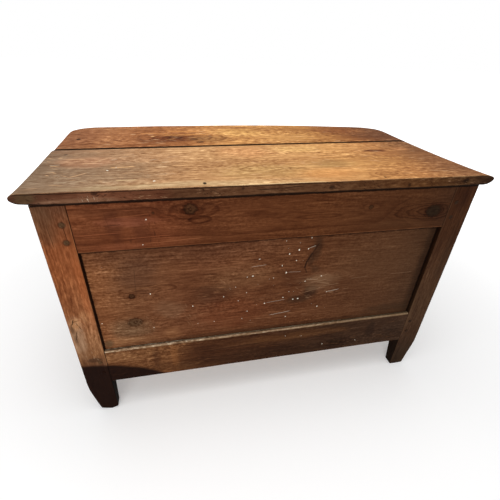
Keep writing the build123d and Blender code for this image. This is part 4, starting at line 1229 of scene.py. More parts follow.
# The tones darken to the right: mostly painted shade, light falling off across the front.
FRONT_PANEL = pine(
    "front_panel_pine",
    [
        (-0.44, (120, 74, 44)),
        (-0.38, (107, 67, 41)),
        (-0.20, (98, 58, 35)),
        (0.08, (88, 51, 29)),
        (0.35, (80, 50, 30)),
        (0.44, (68, 44, 27)),
    ],
    ring_width=0.008,
    bend=0.035,
    streak=1.0,
    mottle=1.8,
    fibre=2.0,
    cloud=1.0,
    lines=0.4,
    mottle_scale=(150, 210, 210),
    line_scale=(16, 320, 320),
    lively=((0.02, 1.0), (0.34, 0.5)),
    knots=[
        (-0.368, 0.414, (0.0075, 0.0070), (0.05, 0.02), 0.02),
        (-0.371, 0.327, (0.018, 0.014), (0.06, 0.03), 0.025),
    ],
    looped=[(-0.33, 0.432, (0.11, 0.020), 3.0, 0.0, 0.5)],
    stains_and_shadows=[
        (-0.26, 0.535, (0.24, 0.030), 1.4, 0.7, 0.55, (82, 48, 30)),
        (-0.350, 0.475, (0.05, 0.05), 1.8, 0.6, 0.5, (72, 45, 31)),
        (-0.24, 0.36, (0.10, 0.09), 1.6, 0.7, 0.25, (88, 48, 28)),
        (-0.162, 0.393, (0.05, 0.035), 2.0, 0.5, 0.45, (56, 34, 22)),
        (-0.115, 0.330, (0.08, 0.05), 2.0, 0.6, 0.4, (92, 42, 20)),
        (-0.385, 0.305, (0.05, 0.03), 1.6, 0.6, 0.5, (98, 76, 54)),
        (-0.279, 0.268, (0.02, 0.020), 2.4, 0.5, 0.3, (148, 100, 64)),
        (-0.28, 0.355, (0.03, 0.030), 2.6, 0.5, 0.3, (130, 96, 70)),
        (-0.10, 0.44, (0.09, 0.03), 1.6, 0.7, 0.3, (126, 88, 58)),
        (-0.41, 0.262, (0.06, 0.012), 1.2, 0.7, 0.5, (142, 100, 66)),
        (-0.447, 0.262, (0.012, 0.014), 1.2, 0.5, 0.6, (70, 56, 38)),
        (0.110, 0.370, (0.020, 0.022), 1.6, 0.5, 0.75, (44, 25, 14)),
        (0.080, 0.345, (0.035, 0.014), 1.6, 0.5, 0.6, (46, 30, 18)),
        (0.112, 0.508, (0.012, 0.034), 2.2, 0.5, 0.65, (46, 28, 16)),
        (0.097, 0.478, (0.008, 0.022), 2.2, 0.5, 0.6, (44, 26, 15)),
        (0.112, 0.446, (0.014, 0.012), 2.6, 0.5, 0.5, (50, 30, 17)),
        (0.132, 0.402, (0.050, 0.026), 1.8, 0.6, 0.5, (124, 92, 66)),
        (0.060, 0.425, (0.040, 0.030), 2.2, 0.6, 0.4, (64, 34, 18)),
        (0.30, 0.45, (0.13, 0.06), 1.6, 0.8, 0.35, (82, 54, 34)),
        # Painted shade: a soft dark band down the right side of the panel, beside the post.
        (0.450, 0.42, (0.014, 0.20), 1.2, 0.8, 0.65, (34, 20, 12)),
        (0.40, 0.268, (0.08, 0.016), 2.2, 0.6, 0.5, (44, 29, 17)),
        # Painted shadow: a thin dark band along the foot of the panel, above the ledge.
        (0.0, 0.249, (0.42, 0.006), 0.8, 0.6, 0.5, (40, 24, 14)),
    ],
    scuffed=[
        (-0.10, 0.42, (0.12, 0.08), 0.1, (24, 260), 0.45, (176, 122, 84)),
        (0.13, 0.39, (0.11, 0.05), -0.12, (26, 260), 0.75, (170, 130, 98)),
        (0.12, 0.40, (0.08, 0.05), 0.5, (34, 220), 0.6, (158, 120, 90)),
        (-0.28, 0.33, (0.12, 0.05), 1.2, (60, 200), 0.4, (150, 114, 84)),
        (-0.15, 0.40, (0.06, 0.05), 0.8, (50, 200), 0.45, (170, 128, 94)),
        (0.0, 0.31, (0.14, 0.05), 0.12, (20, 260), 0.4, (166, 120, 86)),
    ],
    splits=[
        ("xz", 0.1060, 0.5130, 0.017, 0.50, 0.008, 0.0034, 0.55, (30, 16, 9)),
        ("xz", 0.0925, 0.4860, 0.016, 0.50, 0.008, 0.0040, 0.75, (30, 16, 9)),
        ("xz", 0.0845, 0.4640, 0.012, 0.17, 0.008, 0.0036, 0.85, (30, 16, 9)),
        ("xz", 0.0865, 0.4460, 0.012, -0.39, 0.008, 0.0026, 0.6, (30, 16, 9)),
        ("zx", 0.518, 0.095, 0.011, 0.40, 0.006, 0.0008, 0.45, PAINT),
        ("zx", 0.473, -0.045, 0.022, 0.08, 0.006, 0.0007, 0.35, PAINT),
        ("zx", 0.364, 0.180, 0.020, 0.16, 0.006, 0.0008, 0.5, PAINT),
        ("zx", 0.347, 0.010, 0.030, 0.09, 0.006, 0.0006, 0.4, PAINT),
        ("zx", 0.300, 0.026, 0.034, 0.11, 0.006, 0.0008, 0.5, PAINT),
        ("zx", 0.443, 0.055, 0.020, -0.04, 0.006, 0.0006, 0.3, PAINT),
        ("zx", 0.412, 0.110, 0.020, -0.10, 0.008, 0.0016, 0.6, (170, 138, 108)),
        ("zx", 0.404, 0.130, 0.026, 0.10, 0.008, 0.0012, 0.5, (164, 130, 100)),
        ("zx", 0.396, 0.145, 0.022, -0.25, 0.008, 0.0014, 0.5, (160, 126, 96)),
        ("zx", 0.420, 0.140, 0.018, 0.45, 0.008, 0.0012, 0.45, (156, 122, 92)),
        ("zx", 0.386, 0.170, 0.026, 0.06, 0.006, 0.0010, 0.5, (160, 126, 96)),
        ("zx", 0.374, 0.120, 0.030, 0.20, 0.008, 0.0010, 0.4, (150, 114, 84)),
        ("zx", 0.402, 0.255, 0.030, 0.05, 0.003, 0.0007, 0.5, (150, 118, 90)),
        ("zx", 0.403, 0.390, 0.040, 0.0, 0.003, 0.0008, 0.5, (146, 112, 84)),
        ("zx", 0.478, -0.12, 0.08, 0.06, 0.004, 0.0008, 0.5, (150, 104, 70)),
        ("zx", 0.437, -0.33, 0.06, 0.18, 0.006, 0.0010, 0.5, (150, 102, 66)),
        ("xz", -0.355, 0.45, 0.05, 0.05, 0.006, 0.0012, 0.4, (48, 30, 20)),
    ],
    # Painted shade in the corners of the recess round the panel.
    shade_and_joints=((-OPEN_X, OPEN_LOW), (OPEN_X, OPEN_HIGH), (0.0045, 0.0015), (0.008, 0.0105), 0.8),
    raw=RAW_PINE,
    flecked=(0.04, 0.40, (0.13, 0.12), 0.07),
    splashes=[
        (0.035, 0.502, 0.0020),
        (0.060, 0.512, 0.0024),
        (0.085, 0.513, 0.0015),
        (0.056, 0.479, 0.0016),
        (0.018, 0.467, 0.0019),
        (0.032, 0.443, 0.0023),
        (-0.002, 0.429, 0.0014),
        (0.090, 0.407, 0.0016),
        (0.140, 0.309, 0.0018),
        (0.161, 0.361, 0.0014),
        (-0.022, 0.343, 0.0018),
        (-0.071, 0.321, 0.0014),
        (-0.105, 0.411, 0.0012),
        (-0.097, 0.363, 0.0011),
        (-0.323, 0.416, 0.0015),
        (-0.326, 0.301, 0.0015),
        (-0.220, 0.361, 0.0015),
        (-0.164, 0.297, 0.0016),
        (-0.137, 0.382, 0.0014),
        (-0.209, 0.297, 0.0011),
        (-0.085, 0.296, 0.0011),
        (0.023, 0.542, 0.0010),
    ],
)
# Painted shadow: a cast shadow over the left foot, the left end of the foot rail and the pegs there.
FOOT_SHADOW = (-0.552, 0.0, (0.310, 0.1985), 0.05, 0.03, 0.98, DARK_FOOT_BROWN)
# The tones darken to the right: mostly painted shade, light falling off across the front.
FOOT_RAIL = pine(
    "foot_rail_pine",
    [
        (-0.46, (98, 60, 34)),
        (-0.28, (98, 60, 33)),
        (-0.20, (70, 39, 20)),
        (0.02, (61, 35, 19)),
        (0.22, (57, 36, 22)),
        (0.46, (62, 41, 27)),
    ],
    ring_width=0.008,
    bend=0.03,
    streak=1.6,
    mottle=2.8,
    fibre=1.6,
    lines=0.6,
    mottle_scale=(110, 170, 170),
    line_scale=ALONG_LINES,
    lively=((0.0, 1.0), (0.40, 0.8)),
    knots=[(0.223, 0.155, (0.022, 0.013), (0.06, 0.02), 0.02)],
    looped=[(0.223, 0.155, (0.06, 0.026), 3.0, 0.0, 0.5)],
    stains_and_shadows=[
        (0.05, 0.145, (0.40, 0.030), 1.4, 0.5, 0.45, (40, 23, 13)),
        (-0.28, 0.190, (0.009, 0.040), 3.0, 0.5, 0.35, (126, 78, 42)),
        (-0.40, 0.215, (0.07, 0.016), 1.8, 0.5, 0.45, (142, 98, 62)),
        (-0.19, 0.200, (0.06, 0.025), 2.0, 0.5, 0.5, (52, 27, 13)),
        (-0.33, 0.190, (0.010, 0.035), 1.8, 0.5, 0.5, (62, 34, 18)),
        (0.08, 0.210, (0.16, 0.015), 2.0, 0.5, 0.4, (92, 56, 28)),
        (0.337, 0.196, (0.014, 0.035), 1.8, 0.5, 0.55, (36, 22, 13)),
        (0.42, 0.18, (0.04, 0.03), 1.8, 0.6, 0.4, (40, 26, 16)),
        # The painted shadow over the left foot.
        FOOT_SHADOW,
    ],
    splashes=[(0.177, 0.155, 0.0020), (0.292, 0.151, 0.0014), (0.049, 0.213, 0.0010), (0.10, 0.205, 0.0010)],
    scuffed=[
        (-0.30, 0.20, (0.16, 0.05), 1.2, (60, 220), 0.7, (56, 30, 16)),
        (0.30, 0.19, (0.16, 0.05), 1.4, (60, 220), 0.6, (34, 20, 12)),
        (0.0, 0.18, (0.5, 0.05), 0.05, (24, 260), 0.6, (112, 74, 44)),
    ],
    splits=[("zx", 0.196, -0.10, 0.12, 0.03, 0.006, 0.0012, 0.6, SHADE_AND_CRACK_BLACK)],
    shade_and_joints=((-OPEN_X, -1), (OPEN_X, 1), (JOINT, 0.001), (JOINT, 0.001)),
    rub_and_highlight=((130, 98, 68), 0.4),
    raw=RAW_PINE,
    # The ledge is paler with dust and painted light, and painted dark as shadow behind its lip.
    ledge=([(-0.45, (152, 124, 96)), (0.0, (142, 116, 90)), (0.45, (118, 96, 72))], 0.0038),
)
LEFT_POST = pine(
    "left_post_pine",
    [
        (0.19, (84, 53, 34)),
        (0.24, (124, 82, 51)),
        (0.28, (134, 90, 58)),
        (0.38, (132, 81, 49)),
        (0.50, (130, 73, 40)),
        (0.57, (124, 68, 37)),
        (0.66, (88, 52, 32)),
    ],
    along="z",
    ring_width=0.011,
    bend=0.03,
    streak=0.7,
    mottle=1.5,
    fibre=1.5,
    lines=0.26,
    mottle_scale=FINE_MOTTLE,
    line_scale=ALONG_LINES,
    stains_and_shadows=[
        (-0.512, 0.645, (0.020, 0.06), 1.4, 0.6, 0.5, (84, 58, 38)),
        (-0.512, 0.300, (0.016, 0.060), 2.2, 0.5, 0.55, (164, 132, 104)),
        (-0.480, 0.372, (0.014, 0.018), 1.8, 0.5, 0.4, (160, 112, 74)),
        (-0.470, 0.45, (0.010, 0.10), 1.4, 0.6, 0.35, (150, 80, 42)),
        (-0.510, 0.350, (0.010, 0.016), 3.0, 0.5, 0.6, (178, 126, 82)),
        (-0.520, 0.334, (0.004, 0.014), 3.0, 0.5, 0.6, (60, 34, 19)),
        (-0.518, 0.296, (0.004, 0.014), 3.0, 0.5, 0.5, (60, 36, 22)),
        (-0.490, 0.216, (0.016, 0.008), 1.6, 0.4, 0.6, (44, 26, 16)),
        (-0.477, 0.627, (0.0082, 0.0082), 0.8, 0.3, 0.6, (44, 26, 15)),
        (-0.477, 0.584, (0.0082, 0.0082), 0.8, 0.3, 0.6, (44, 26, 15)),
        # The painted shadow over the left foot.
        FOOT_SHADOW,
    ],
    scuffed=[(-0.508, 0.30, (0.03, 0.09), 1.3, (70, 240), 0.8, (190, 158, 126))],
    splits=[
        ("xz", -0.475, 0.605, 0.030, -0.05, 0.004, 0.0009, 0.7, SHADE_AND_CRACK_BLACK),
        ("xz", -0.505, 0.60, 0.035, -0.05, 0.004, 0.0008, 0.5, SHADE_AND_CRACK_BLACK),
        ("xz", -0.514, 0.358, 0.010, 0.45, 0.030, 0.0024, 0.8, (44, 24, 13)),
        ("zx", 0.361, -0.509, 0.008, 0.30, 0.010, 0.0014, 0.7, (44, 24, 13)),
        ("xz", -0.503, 0.345, 0.012, -0.30, 0.020, 0.0016, 0.6, (44, 24, 13)),
        ("xz", -0.514, 0.312, 0.016, 0.30, 0.030, 0.0018, 0.7, (44, 24, 13)),
    ],
    rub_and_highlight=((144, 96, 60), 0.35),
    # Painted shadow under the lid at the top of the post, and painted shade on its inner wall beside the
    # panel.
    shade_and_joints=SHADOW_UNDER_LID,
    inner=(1, 0.9),
)
# Darker than the left post: painted shade, light falling off to the right.
RIGHT_POST = pine(
    "right_post_pine",
    [
        (0.05, (46, 30, 18)),
        (0.15, (60, 38, 23)),
        (0.28, (68, 45, 28)),
        (0.45, (67, 41, 24)),
        (0.55, (62, 35, 18)),
        (0.66, (58, 31, 15)),
    ],
    along="z",
    ring_width=0.011,
    bend=0.03,
    streak=1.0,
    mottle=1.0,
    fibre=1.2,
    lines=0.3,
    mottle_scale=FINE_MOTTLE,
    line_scale=ALONG_LINES,
    stains_and_shadows=[
        (0.500, 0.635, (0.014, 0.035), 1.4, 0.6, 0.6, (40, 18, 8)),
        (0.510, 0.45, (0.012, 0.10), 1.6, 0.6, 0.4, (44, 28, 17)),
    ],
    rub_and_highlight=((84, 60, 42), 0.3),
    # Painted shadow under the lid at the top of the post, and painted shade on its inner wall beside the
    # panel.
    shade_and_joints=SHADOW_UNDER_LID,
    inner=(-1, 0.7),
)
FRAME = pine(
    "frame_pine",
    [(-0.5, (98, 54, 31)), (0.5, (78, 45, 26))],
    ring_width=0.008,
    bend=0.03,
    mottle=1.2,
    fibre=1.6,
    mottle_scale=FINE_MOTTLE,
    line_scale=ALONG_LINES,
    rub_and_highlight=((128, 82, 50), 0.5),
    raw=RAW_PINE,
    # Faces that look up are paler with dust and painted light.
    ledge=([(-0.5, (170, 134, 98)), (0.5, (150, 112, 76))], 0),
)
FRAME_SIDE = pine(
    "frame_side_pine",
    [(-0.25, (88, 51, 31)), (0.25, (94, 53, 31))],
    plane="yz",
    along="y",
    ring_width=0.008,
    bend=0.03,
    mottle=1.2,
    fibre=1.6,
    mottle_scale=FINE_MOTTLE,
    line_scale=ALONG_LINES,
    rub_and_highlight=((128, 82, 50), 0.5),
    raw=RAW_PINE,
    # Faces that look up are paler with dust and painted light.
    ledge=([(-0.25, (160, 124, 88)), (0.25, (160, 124, 88))], 0),
)
REAR_POST = pine(
    "rear_post_pine",
    [(0.06, DARK_FOOT_BROWN), (0.16, (74, 46, 29)), (0.30, (100, 62, 38)), (0.66, (84, 47, 28))],
    along="z",
    ring_width=0.009,
    bend=0.03,
    mottle=1.4,
    fibre=1.4,
    mottle_scale=FINE_MOTTLE,
    line_scale=ALONG_LINES,
    rub_and_highlight=((128, 82, 50), 0.45),
)
PANELS = pine(
    "panel_pine",
    [(-0.4, (104, 64, 40)), (0.4, (90, 55, 33))],
    ring_width=0.008,
    bend=0.035,
    mottle=1.3,
    fibre=2.0,
    mottle_scale=FINE_MOTTLE,
    line_scale=ALONG_LINES,
    raw=RAW_PINE,
)
SIDE_PANELS = pine(
    "side_panel_pine",
    [(-0.2, (96, 59, 36)), (0.2, (92, 56, 34))],
    plane="yz",
    along="y",
    ring_width=0.008,
    bend=0.035,
    mottle=1.3,
    fibre=2.0,
    mottle_scale=FINE_MOTTLE,
    line_scale=ALONG_LINES,
    raw=RAW_PINE,
)
INSIDE = pine(
    "inside_pine",
    [(-0.5, (176, 132, 88)), (0.5, (168, 124, 82))],
    plane="xy",
    ring_width=0.008,
    bend=0.035,
    mottle=1.2,
    fibre=1.4,
    mottle_scale=(60, 150, 150),
    line_scale=ALONG_LINES,
    rub_and_highlight=((190, 150, 106), 0.4),
    roughness=0.7,
)


def plain_material(name, tones, depth, scale, roughness, metallic=0.0, shine=0.2, shadowed=None):
    """Tones along X, made deeper and paler by noise over the object's own coordinates. A
    painted shadow may lie over them, as on a board."""
    material, tree = new_material(name)
    place = add(tree, "ShaderNodeTexCoord").outputs["Object"]
    drift = noise(tree, place, scale, 5.0, 0.65)
    colour = tones_along(tree, part_of(tree, "Object", "x"), tones)
    depth = about_zero(tree, drift, -depth)
    colour = use(tree, TONE_DEPTH, Colour=colour, Depth=depth)["Colour"]
    if shadowed:
        x, y, radii, ragged, soft, strength, tone = shadowed
        face = face_vector(tree, "xz")
        mask = patch_on(tree, face, x, y, radii, ragged, soft)
        colour = mix(tree, maths(tree, "MULTIPLY", mask, strength), colour, tone)
    gloss = maths(tree, "MULTIPLY_ADD", drift, 0.3, roughness - 0.15)
    bump = add(tree, "ShaderNodeBump", {"Height": drift, **BUMP})
    shader = add(
        tree,
        "ShaderNodeBsdfPrincipled",
        {
            "Base Color": colour,
            "Roughness": gloss,
            "Metallic": metallic,
            "Normal": bump.outputs["Normal"],
            "Specular IOR Level": shine,
        },
    )
    add(tree, "ShaderNodeOutputMaterial", {"Surface": shader.outputs[0]})
    return material


IRON = plain_material("old_iron", [(-0.5, (58, 48, 44)), (0.5, (64, 50, 42))], 2.5, 160.0, 0.55, 0.5)
# The pegs darken to the right with painted shade, as the front does, and the painted shadow over the left
# foot lies over them.
PEGS = plain_material(
    "old_pegs",
    [(-0.48, (78, 54, 34)), (0.48, (48, 31, 20))],
    2.6,
    300.0,
    0.65,
    shine=WOOD_SHINE,
    shadowed=FOOT_SHADOW,
)

# ------------------------------------------------------------------ the boards


def foot_taper(points, worn):
    """Points of a post moved so that its foot narrows on its outer side and towards the
    middle of the chest's depth: the taper times the share across the post, times the share
    down the foot. That share is (H - z)/H, and near the start of the taper, within the ease
    e of H, it is (H + e - z)^2/(4 e H). The two corners of the foot are then worn up by the
    worn height, the inner one by its share of it, down to none at the lowest place across
    the foot and at the height where the wear ends."""
    x, y, z = points[..., 0], points[..., 1], points[..., 2]
    above = np.clip(FOOT_TAPER_HEIGHT + FOOT_EASE - z, 0, None)
    low = np.where(above < 2 * FOOT_EASE, above**2 / (4 * FOOT_EASE), FOOT_TAPER_HEIGHT - z)
    low = low / FOOT_TAPER_HEIGHT
    across = (np.abs(x) - OPEN_X) / (SIDE_X - OPEN_X)
    x = x - np.sign(x) * FOOT_SIDE_TAPER * low * across
    depth = POST_HIGH[1] - POST_LOW[1]
    in_front = y < MIDDLE_Y
    inner = np.where(in_front, (y - FACE_Y) / depth, (BACK_Y - y) / depth)
    y = y - np.where(in_front, 1, -1) * FOOT_INNER_TAPER * low * inner
    outer_corner = (across - FOOT_LOWEST) / (1 - FOOT_LOWEST)
    inner_corner = FOOT_INNER_SHARE * (FOOT_LOWEST - across) / FOOT_LOWEST
    off = np.clip(np.maximum(outer_corner, inner_corner), 0, 1)
    z = z + worn * off * np.clip(1 - z / FOOT_WORN_HEIGHT, 0, 1)
    return np.stack([x, y, z], axis=-1)


def make_posts():
    """The four corner posts."""
    chosen = {"front_left_post": LEFT_POST, "front_right_post": RIGHT_POST}
    for node in ("front_left_post", "front_right_post", "rear_left_post", "rear_right_post"):
        low, high = corners_of(node)
        worn = LEFT_FOOT_WORN if node == "front_left_post" else FOOT_WORN
        board(
            node,
            "z",
            rectangle(low[0], high[0], low[1], high[1]),
            (low[2], high[2]),
            chosen.get(node, REAR_POST),
            heart=(0.02, 0.07),
            radius=0.0020,
            wear=0.0012,
            chips=0.003,
            end_round=0.0015,
            warp=lambda points, worn=worn: foot_taper(points, worn),
        )


def anticlockwise(outline):
    """An outline the right way round, from the sign of its area."""
    a, b = np.asarray(outline, float).T
    area = (a * np.roll(b, -1) - np.roll(a, -1) * b).sum()
    return list(outline) if area > 0 else list(outline)[::-1]


def section(outline, outer, inward, run):
    """An outline given as (depth from the outer face, height), laid on the axes of a run
    along X or along Y."""
    laid = [(outer + inward * depth, height) for depth, height in outline]
    return anticlockwise(laid if run == "x" else [(height, place) for place, height in laid])


def facing(node):
    """Which way a board of a side runs, where its outer face is, and which way is in."""
    low, high = corners_of(node)
    if high[0] - low[0] > high[1] - low[1]:
        return ("x", low[1], 1) if low[1] < MIDDLE_Y else ("x", high[1], -1)
    return ("y", low[0], 1) if low[0] < 0 else ("y", high[0], -1)


def make_rails():
    """The rails between the posts. Each shows the length between its shoulders. A bottom
    rail is chamfered along its upper outer arris, a top rail eased along its lower one."""
    for side in ("front", "rear", "left", "right"):
        for level in ("top", "bottom"):
            node = f"{side}_{level}_rail"
            run, outer, inward = facing(node)
            low, high = corners_of(node)
            bottom, top = low[2], high[2]
            thick = high[1] - low[1] if run == "x" else high[0] - low[0]
            if level == "bottom":
                cut = DUST_CHAMFER
                outline = [(0, bottom), (thick, bottom), (thick, top), (cut, top), (0, top - cut)]
            else:
                cut = RAIL_ARRIS
                outline = [(cut, bottom), (thick, bottom), (thick, top), (0, top), (0, bottom + cut)]
            chosen = {"front_top_rail": TOP_RAIL, "front_bottom_rail": FOOT_RAIL}
            span = (-OPEN_X, OPEN_X) if run == "x" else (POST_HIGH[1], REAR_LOW[1])
            board(
                node,
                run,
                section(outline, outer, inward, run),
                span,
                chosen.get(node, FRAME if run == "x" else FRAME_SIDE),
                heart=(0.08, 0.02) if run == "x" else (0.02, 0.08),
                radius=0.0009,
                wear=0.0010,
                chips=0.002,
            )


def make_panels():
    """The panels: flat outside, bevelled down to a tongue inside. Along the board the
    outline has the bevel; towards the ends it is pressed flat to the same slope. The rear
    panel is an upper and a lower board with a half lap between them."""
    names = ("front_panel", "left_panel", "right_panel", "rear_panel_upper_board", "rear_panel_lower_board")
    for node in names:
        run, outer, inward = facing(node)
        low, high = corners_of(node)
        axis = 0 if run == "x" else 1
        thick = high[1 - axis] - low[1 - axis]
        bottom, top = low[2], high[2]
        slope = TONGUE + PANEL_BEVEL
        thin = TONGUE_THICKNESS
        foot = [(0, bottom), (thin, bottom), (thin, bottom + TONGUE), (thick, bottom + slope)]
        head = [(thick, top - slope), (thin, top - TONGUE), (thin, top), (0, top)]
        if node == "rear_panel_upper_board":
            seam = bottom + REAR_LAP
            foot = [(0, seam), (thick / 2, seam), (thick / 2, bottom), (thick, bottom)]
        if node == "rear_panel_lower_board":
            low_half = thick / 2 - LAP_CLEARANCE
            seam = top - REAR_LAP
            head = [(thick, seam), (low_half, seam), (low_half, top), (0, top)]

        def flatten_ends(points, axis=axis, low=low, high=high, outer=outer, inward=inward, thick=thick):
            along, across = points[..., axis], points[..., 1 - axis]
            from_end = np.minimum(along - low[axis], high[axis] - along)
            share = np.clip((from_end - TONGUE) / PANEL_BEVEL, 0, 1)
            room = TONGUE_THICKNESS + (thick - TONGUE_THICKNESS) * share
            depth = np.minimum((across - outer) * inward, room)
            points[..., 1 - axis] = outer + inward * depth
            return points

        ends = (low[axis], high[axis])
        if node == "front_panel":
            material = FRONT_PANEL
        else:
            material = PANELS if run == "x" else SIDE_PANELS
        board(
            node,
            run,
            section(foot + head, outer, inward, run),
            ends,
            material,
            heart=(0.10, 0.03) if run == "x" else (0.03, 0.10),
            radius=0.0004,
            wear=0.0003,
            relief=0.00015,
            extra=(ends[0] + TONGUE, ends[1] - TONGUE, ends[0] + slope, ends[1] - slope),
            warp=flatten_ends,
        )


def seam_at(x):
    """Where the middle of the joint between the lid boards is, across the lid."""
    share = (x - LID_LEFT) / (LID_RIGHT - LID_LEFT)
    return LID_FRONT + LID_SEAM_LEFT + (LID_SEAM_RIGHT - LID_SEAM_LEFT) * share


def end_nose(points, left, right):
    """A lid board's ends worn round: towards an end, the height over or under the level of
    the tip follows a quarter of an ellipse, h sqrt(1 - (s/r)^2), with a reach r for each.
    The left end's underside first rises by its rise times (1 - s/R), with a reach R."""
    x, z = points[..., 0], points[..., 2]
    from_end = np.minimum(x - left, right - x)
    middle = LID_UNDER + LID_NOSE_LEVEL * (LID_TOP - LID_UNDER)
    rise = LID_LEFT_RISE * np.clip(1 - (x - left) / LID_LEFT_RISE_REACH, 0, 1)
    z = z + rise * np.clip((middle - z) / (middle - LID_UNDER), 0, 1)
    over, under = (np.where(x < 0, LID_NOSE_LEFT[i], LID_NOSE_RIGHT[i]) for i in (0, 1))
    reach = np.where(z > middle, over, under)
    share = np.clip(1 - from_end / reach, 0, 0.995)
    return middle + (z - middle) * np.sqrt(1 - share**2)


def skew(x, y):
    """The lid's right end cut out of square and a little hollow: X shrinks towards the
    back by a straight share of the skew and by the hollow times a sine of share^0.75. The
    left end is a little hollow too, by a sine of share^0.5."""
    share = (y - LID_FRONT) / (LID_BACK - LID_FRONT)
    lost = LID_END_SKEW * share + LID_END_HOLLOW * np.sin(np.pi * np.clip(share, 0, 1) ** 0.75)
    gained = LID_LEFT_HOLLOW * np.sin(np.pi * np.clip(share, 0, 1) ** 0.5)
    length = LID_RIGHT - LID_LEFT
    return LID_LEFT + (x - LID_LEFT) * (1 - lost / length) + gained * (LID_RIGHT - x) / length


def ragged(x, *words):
    """The wavering line of a sawn edge that has chipped."""
    return 0.0006 * wander(x, 0.05, *words) + 0.0005 * wander(x, 0.012, *words, "short")


def front_board_warp(points):
    """The front lid board: its rear edge follows the joint."""
    x, y = points[..., 0], points[..., 1]
    z = end_nose(points, LID_LEFT, LID_RIGHT)
    far = seam_at(x) - LID_SEAM_GAP / 2 - LID_SEAM_EASE + ragged(x[:, 0], "front seam")[:, None]
    y = LID_FRONT + (y - LID_FRONT) * (far - LID_FRONT) / (LID_HIGH[1] - LID_FRONT)
    return np.stack([skew(x, y), y, z], axis=-1)


def rear_board_warp(points):
    """The rear lid board: its front edge follows the joint, its rear edge bows out along a
    parabola, and its rear corners are rounded seen from above."""
    x, y = points[..., 0], points[..., 1]
    left = LID_BACK_LOW[0]
    z = end_nose(points, left, LID_RIGHT)
    near = seam_at(x) + LID_SEAM_GAP / 2 + LID_SEAM_EASE + ragged(x[:, 0], "rear seam")[:, None]
    far = LID_BACK - np.where(x < 0, LID_REAR_BOW, LID_REAR_BOW_RIGHT) * (x / LID_RIGHT) ** 2
    for radius, from_end in ((LID_LEFT_CORNER, x - left), (LID_RIGHT_CORNER, LID_RIGHT - x)):
        short = np.clip(radius - from_end, 0, None)
        far = far - radius + np.sqrt(np.maximum(radius**2 - short**2, 0))
    y = near + (y - LID_BACK_LOW[1]) / (LID_BACK - LID_BACK_LOW[1]) * (far - near)
    return np.stack([skew(x, y), y, z], axis=-1)


def make_lid():
    """The two lid boards, and the three battens under them with their lower ends cut
    away."""
    common = dict(wear=0.0013, chips=0.0034, relief=0.0004, end_round=0.001)
    board(
        "lid_front_board",
        "x",
        rectangle(LID_FRONT, LID_HIGH[1], LID_UNDER, LID_TOP),
        (LID_LEFT, LID_RIGHT),
        LID_FRONT_PINE,
        heart=(0.05, -0.10),
        radius=(0.0045, 0.0014, 0.0012, 0.0012),
        warp=front_board_warp,
        **common,
    )
    board(
        "lid_rear_board",
        "x",
        rectangle(LID_BACK_LOW[1], LID_BACK, LID_UNDER, LID_TOP),
        (LID_BACK_LOW[0], LID_RIGHT),
        LID_REAR,
        heart=(-0.03, -0.10),
        radius=0.0014,
        warp=rear_board_warp,
        **common,
    )
    for word in ("left", "middle", "right"):
        node = f"lid_batten_{word}"
        low, high = corners_of(node)

        def cut_ends(points, low=low, high=high):
            y, z = points[..., 1], points[..., 2]
            cut = np.clip(BATTEN_CHAMFER - np.minimum(y - low[1], high[1] - y), 0, None)
            points[..., 2] = high[2] - (high[2] - z) * (1 - cut / (high[2] - low[2]))
            return points

        outline = rectangle(low[2], high[2], low[0], high[0])
        board(node, "y", outline, (low[1], high[1]), INSIDE, heart=(0.06, 0.02), wear=0.0006, warp=cut_ends)


def notch_round_posts(points):
    """A floor board's ends drawn in where they pass the posts."""
    x, y = points[..., 0], points[..., 1]
    full = (RAIL_HIGH[1] - FACE_Y) + NOTCH_CLEARANCE
    half = (BACK_Y - FACE_Y) / 2
    depth = POST_HIGH[1] - POST_LOW[1] + NOTCH_CLEARANCE
    share = (half - depth) / (half - full)
    drawn_in = MIDDLE_Y + (y - MIDDLE_Y) * share
    points[..., 1] = np.where(np.abs(x) > OPEN_X - NOTCH_CLEARANCE, drawn_in, y)
    return points


def make_floor_boards():
    """The floor: boards from front to back, each lapped over its right-hand neighbour's
    edge, and the end ones notched round the posts."""
    for i in range(1, FLOOR_BOARDS + 1):
        node = f"floor_board_{i}"
        low, high = corners_of(node)
        under, top = low[2], high[2]
        middle = (under + top) / 2
        left, right = low[0], high[0]
        outline = [(left, under), (right, under), (right, top), (left, top)]
        if i < FLOOR_BOARDS:
            step = middle - LAP_CLEARANCE
            outline[1:3] = [(right, under), (right, step)]
            outline[3:3] = [(right - FLOOR_LAP, step), (right - FLOOR_LAP, top)]
        if i > 1:
            outline[0:1] = [(left, middle), (left + FLOOR_LAP, middle), (left + FLOOR_LAP, under)]
        notch = OPEN_X - NOTCH_CLEARANCE
        near, far = notch - LAP_CLEARANCE, notch + LAP_CLEARANCE  # points either side of a notch
        if i == 1:
            outline[1:1] = [(-far, under), (-near, under)]
            outline[-1:-1] = [(-near, top), (-far, top)]
        if i == FLOOR_BOARDS:
            at = outline.index((right, under))
            outline[at:at] = [(near, under), (far, under)]
            at = outline.index((right, top))
            outline[at + 1 : at + 1] = [(far, top), (near, top)]
        board(
            node,
            "y",
            anticlockwise([(height, place) for place, height in outline]),
            (low[1], high[1]),
            INSIDE,
            heart=(-0.06, 0.02),
            radius=0.0007,
            wear=0.0006,
            warp=notch_round_posts if i in (1, FLOOR_BOARDS) else None,
        )


def make_inside():
    """The plain boards inside: ledgers, cleats and the partition."""
    for node in frame["nodes"]:
        if node.endswith("nails") or not ("ledger" in node or "cleat" in node or "partition" in node):
            continue
        low, high = corners_of(node)
        run = "xyz"[int(np.argmax(high - low))] if "partition" not in node else "y"
        along, a, b = RUNS[run]
        board(
            node,
            run,
            rectangle(low[a], high[a], low[b], high[b]),
            (low[along], high[along]),
            INSIDE,
            heart=(0.02, 0.06),
            radius=0.0007,
            wear=0.0006,
        )


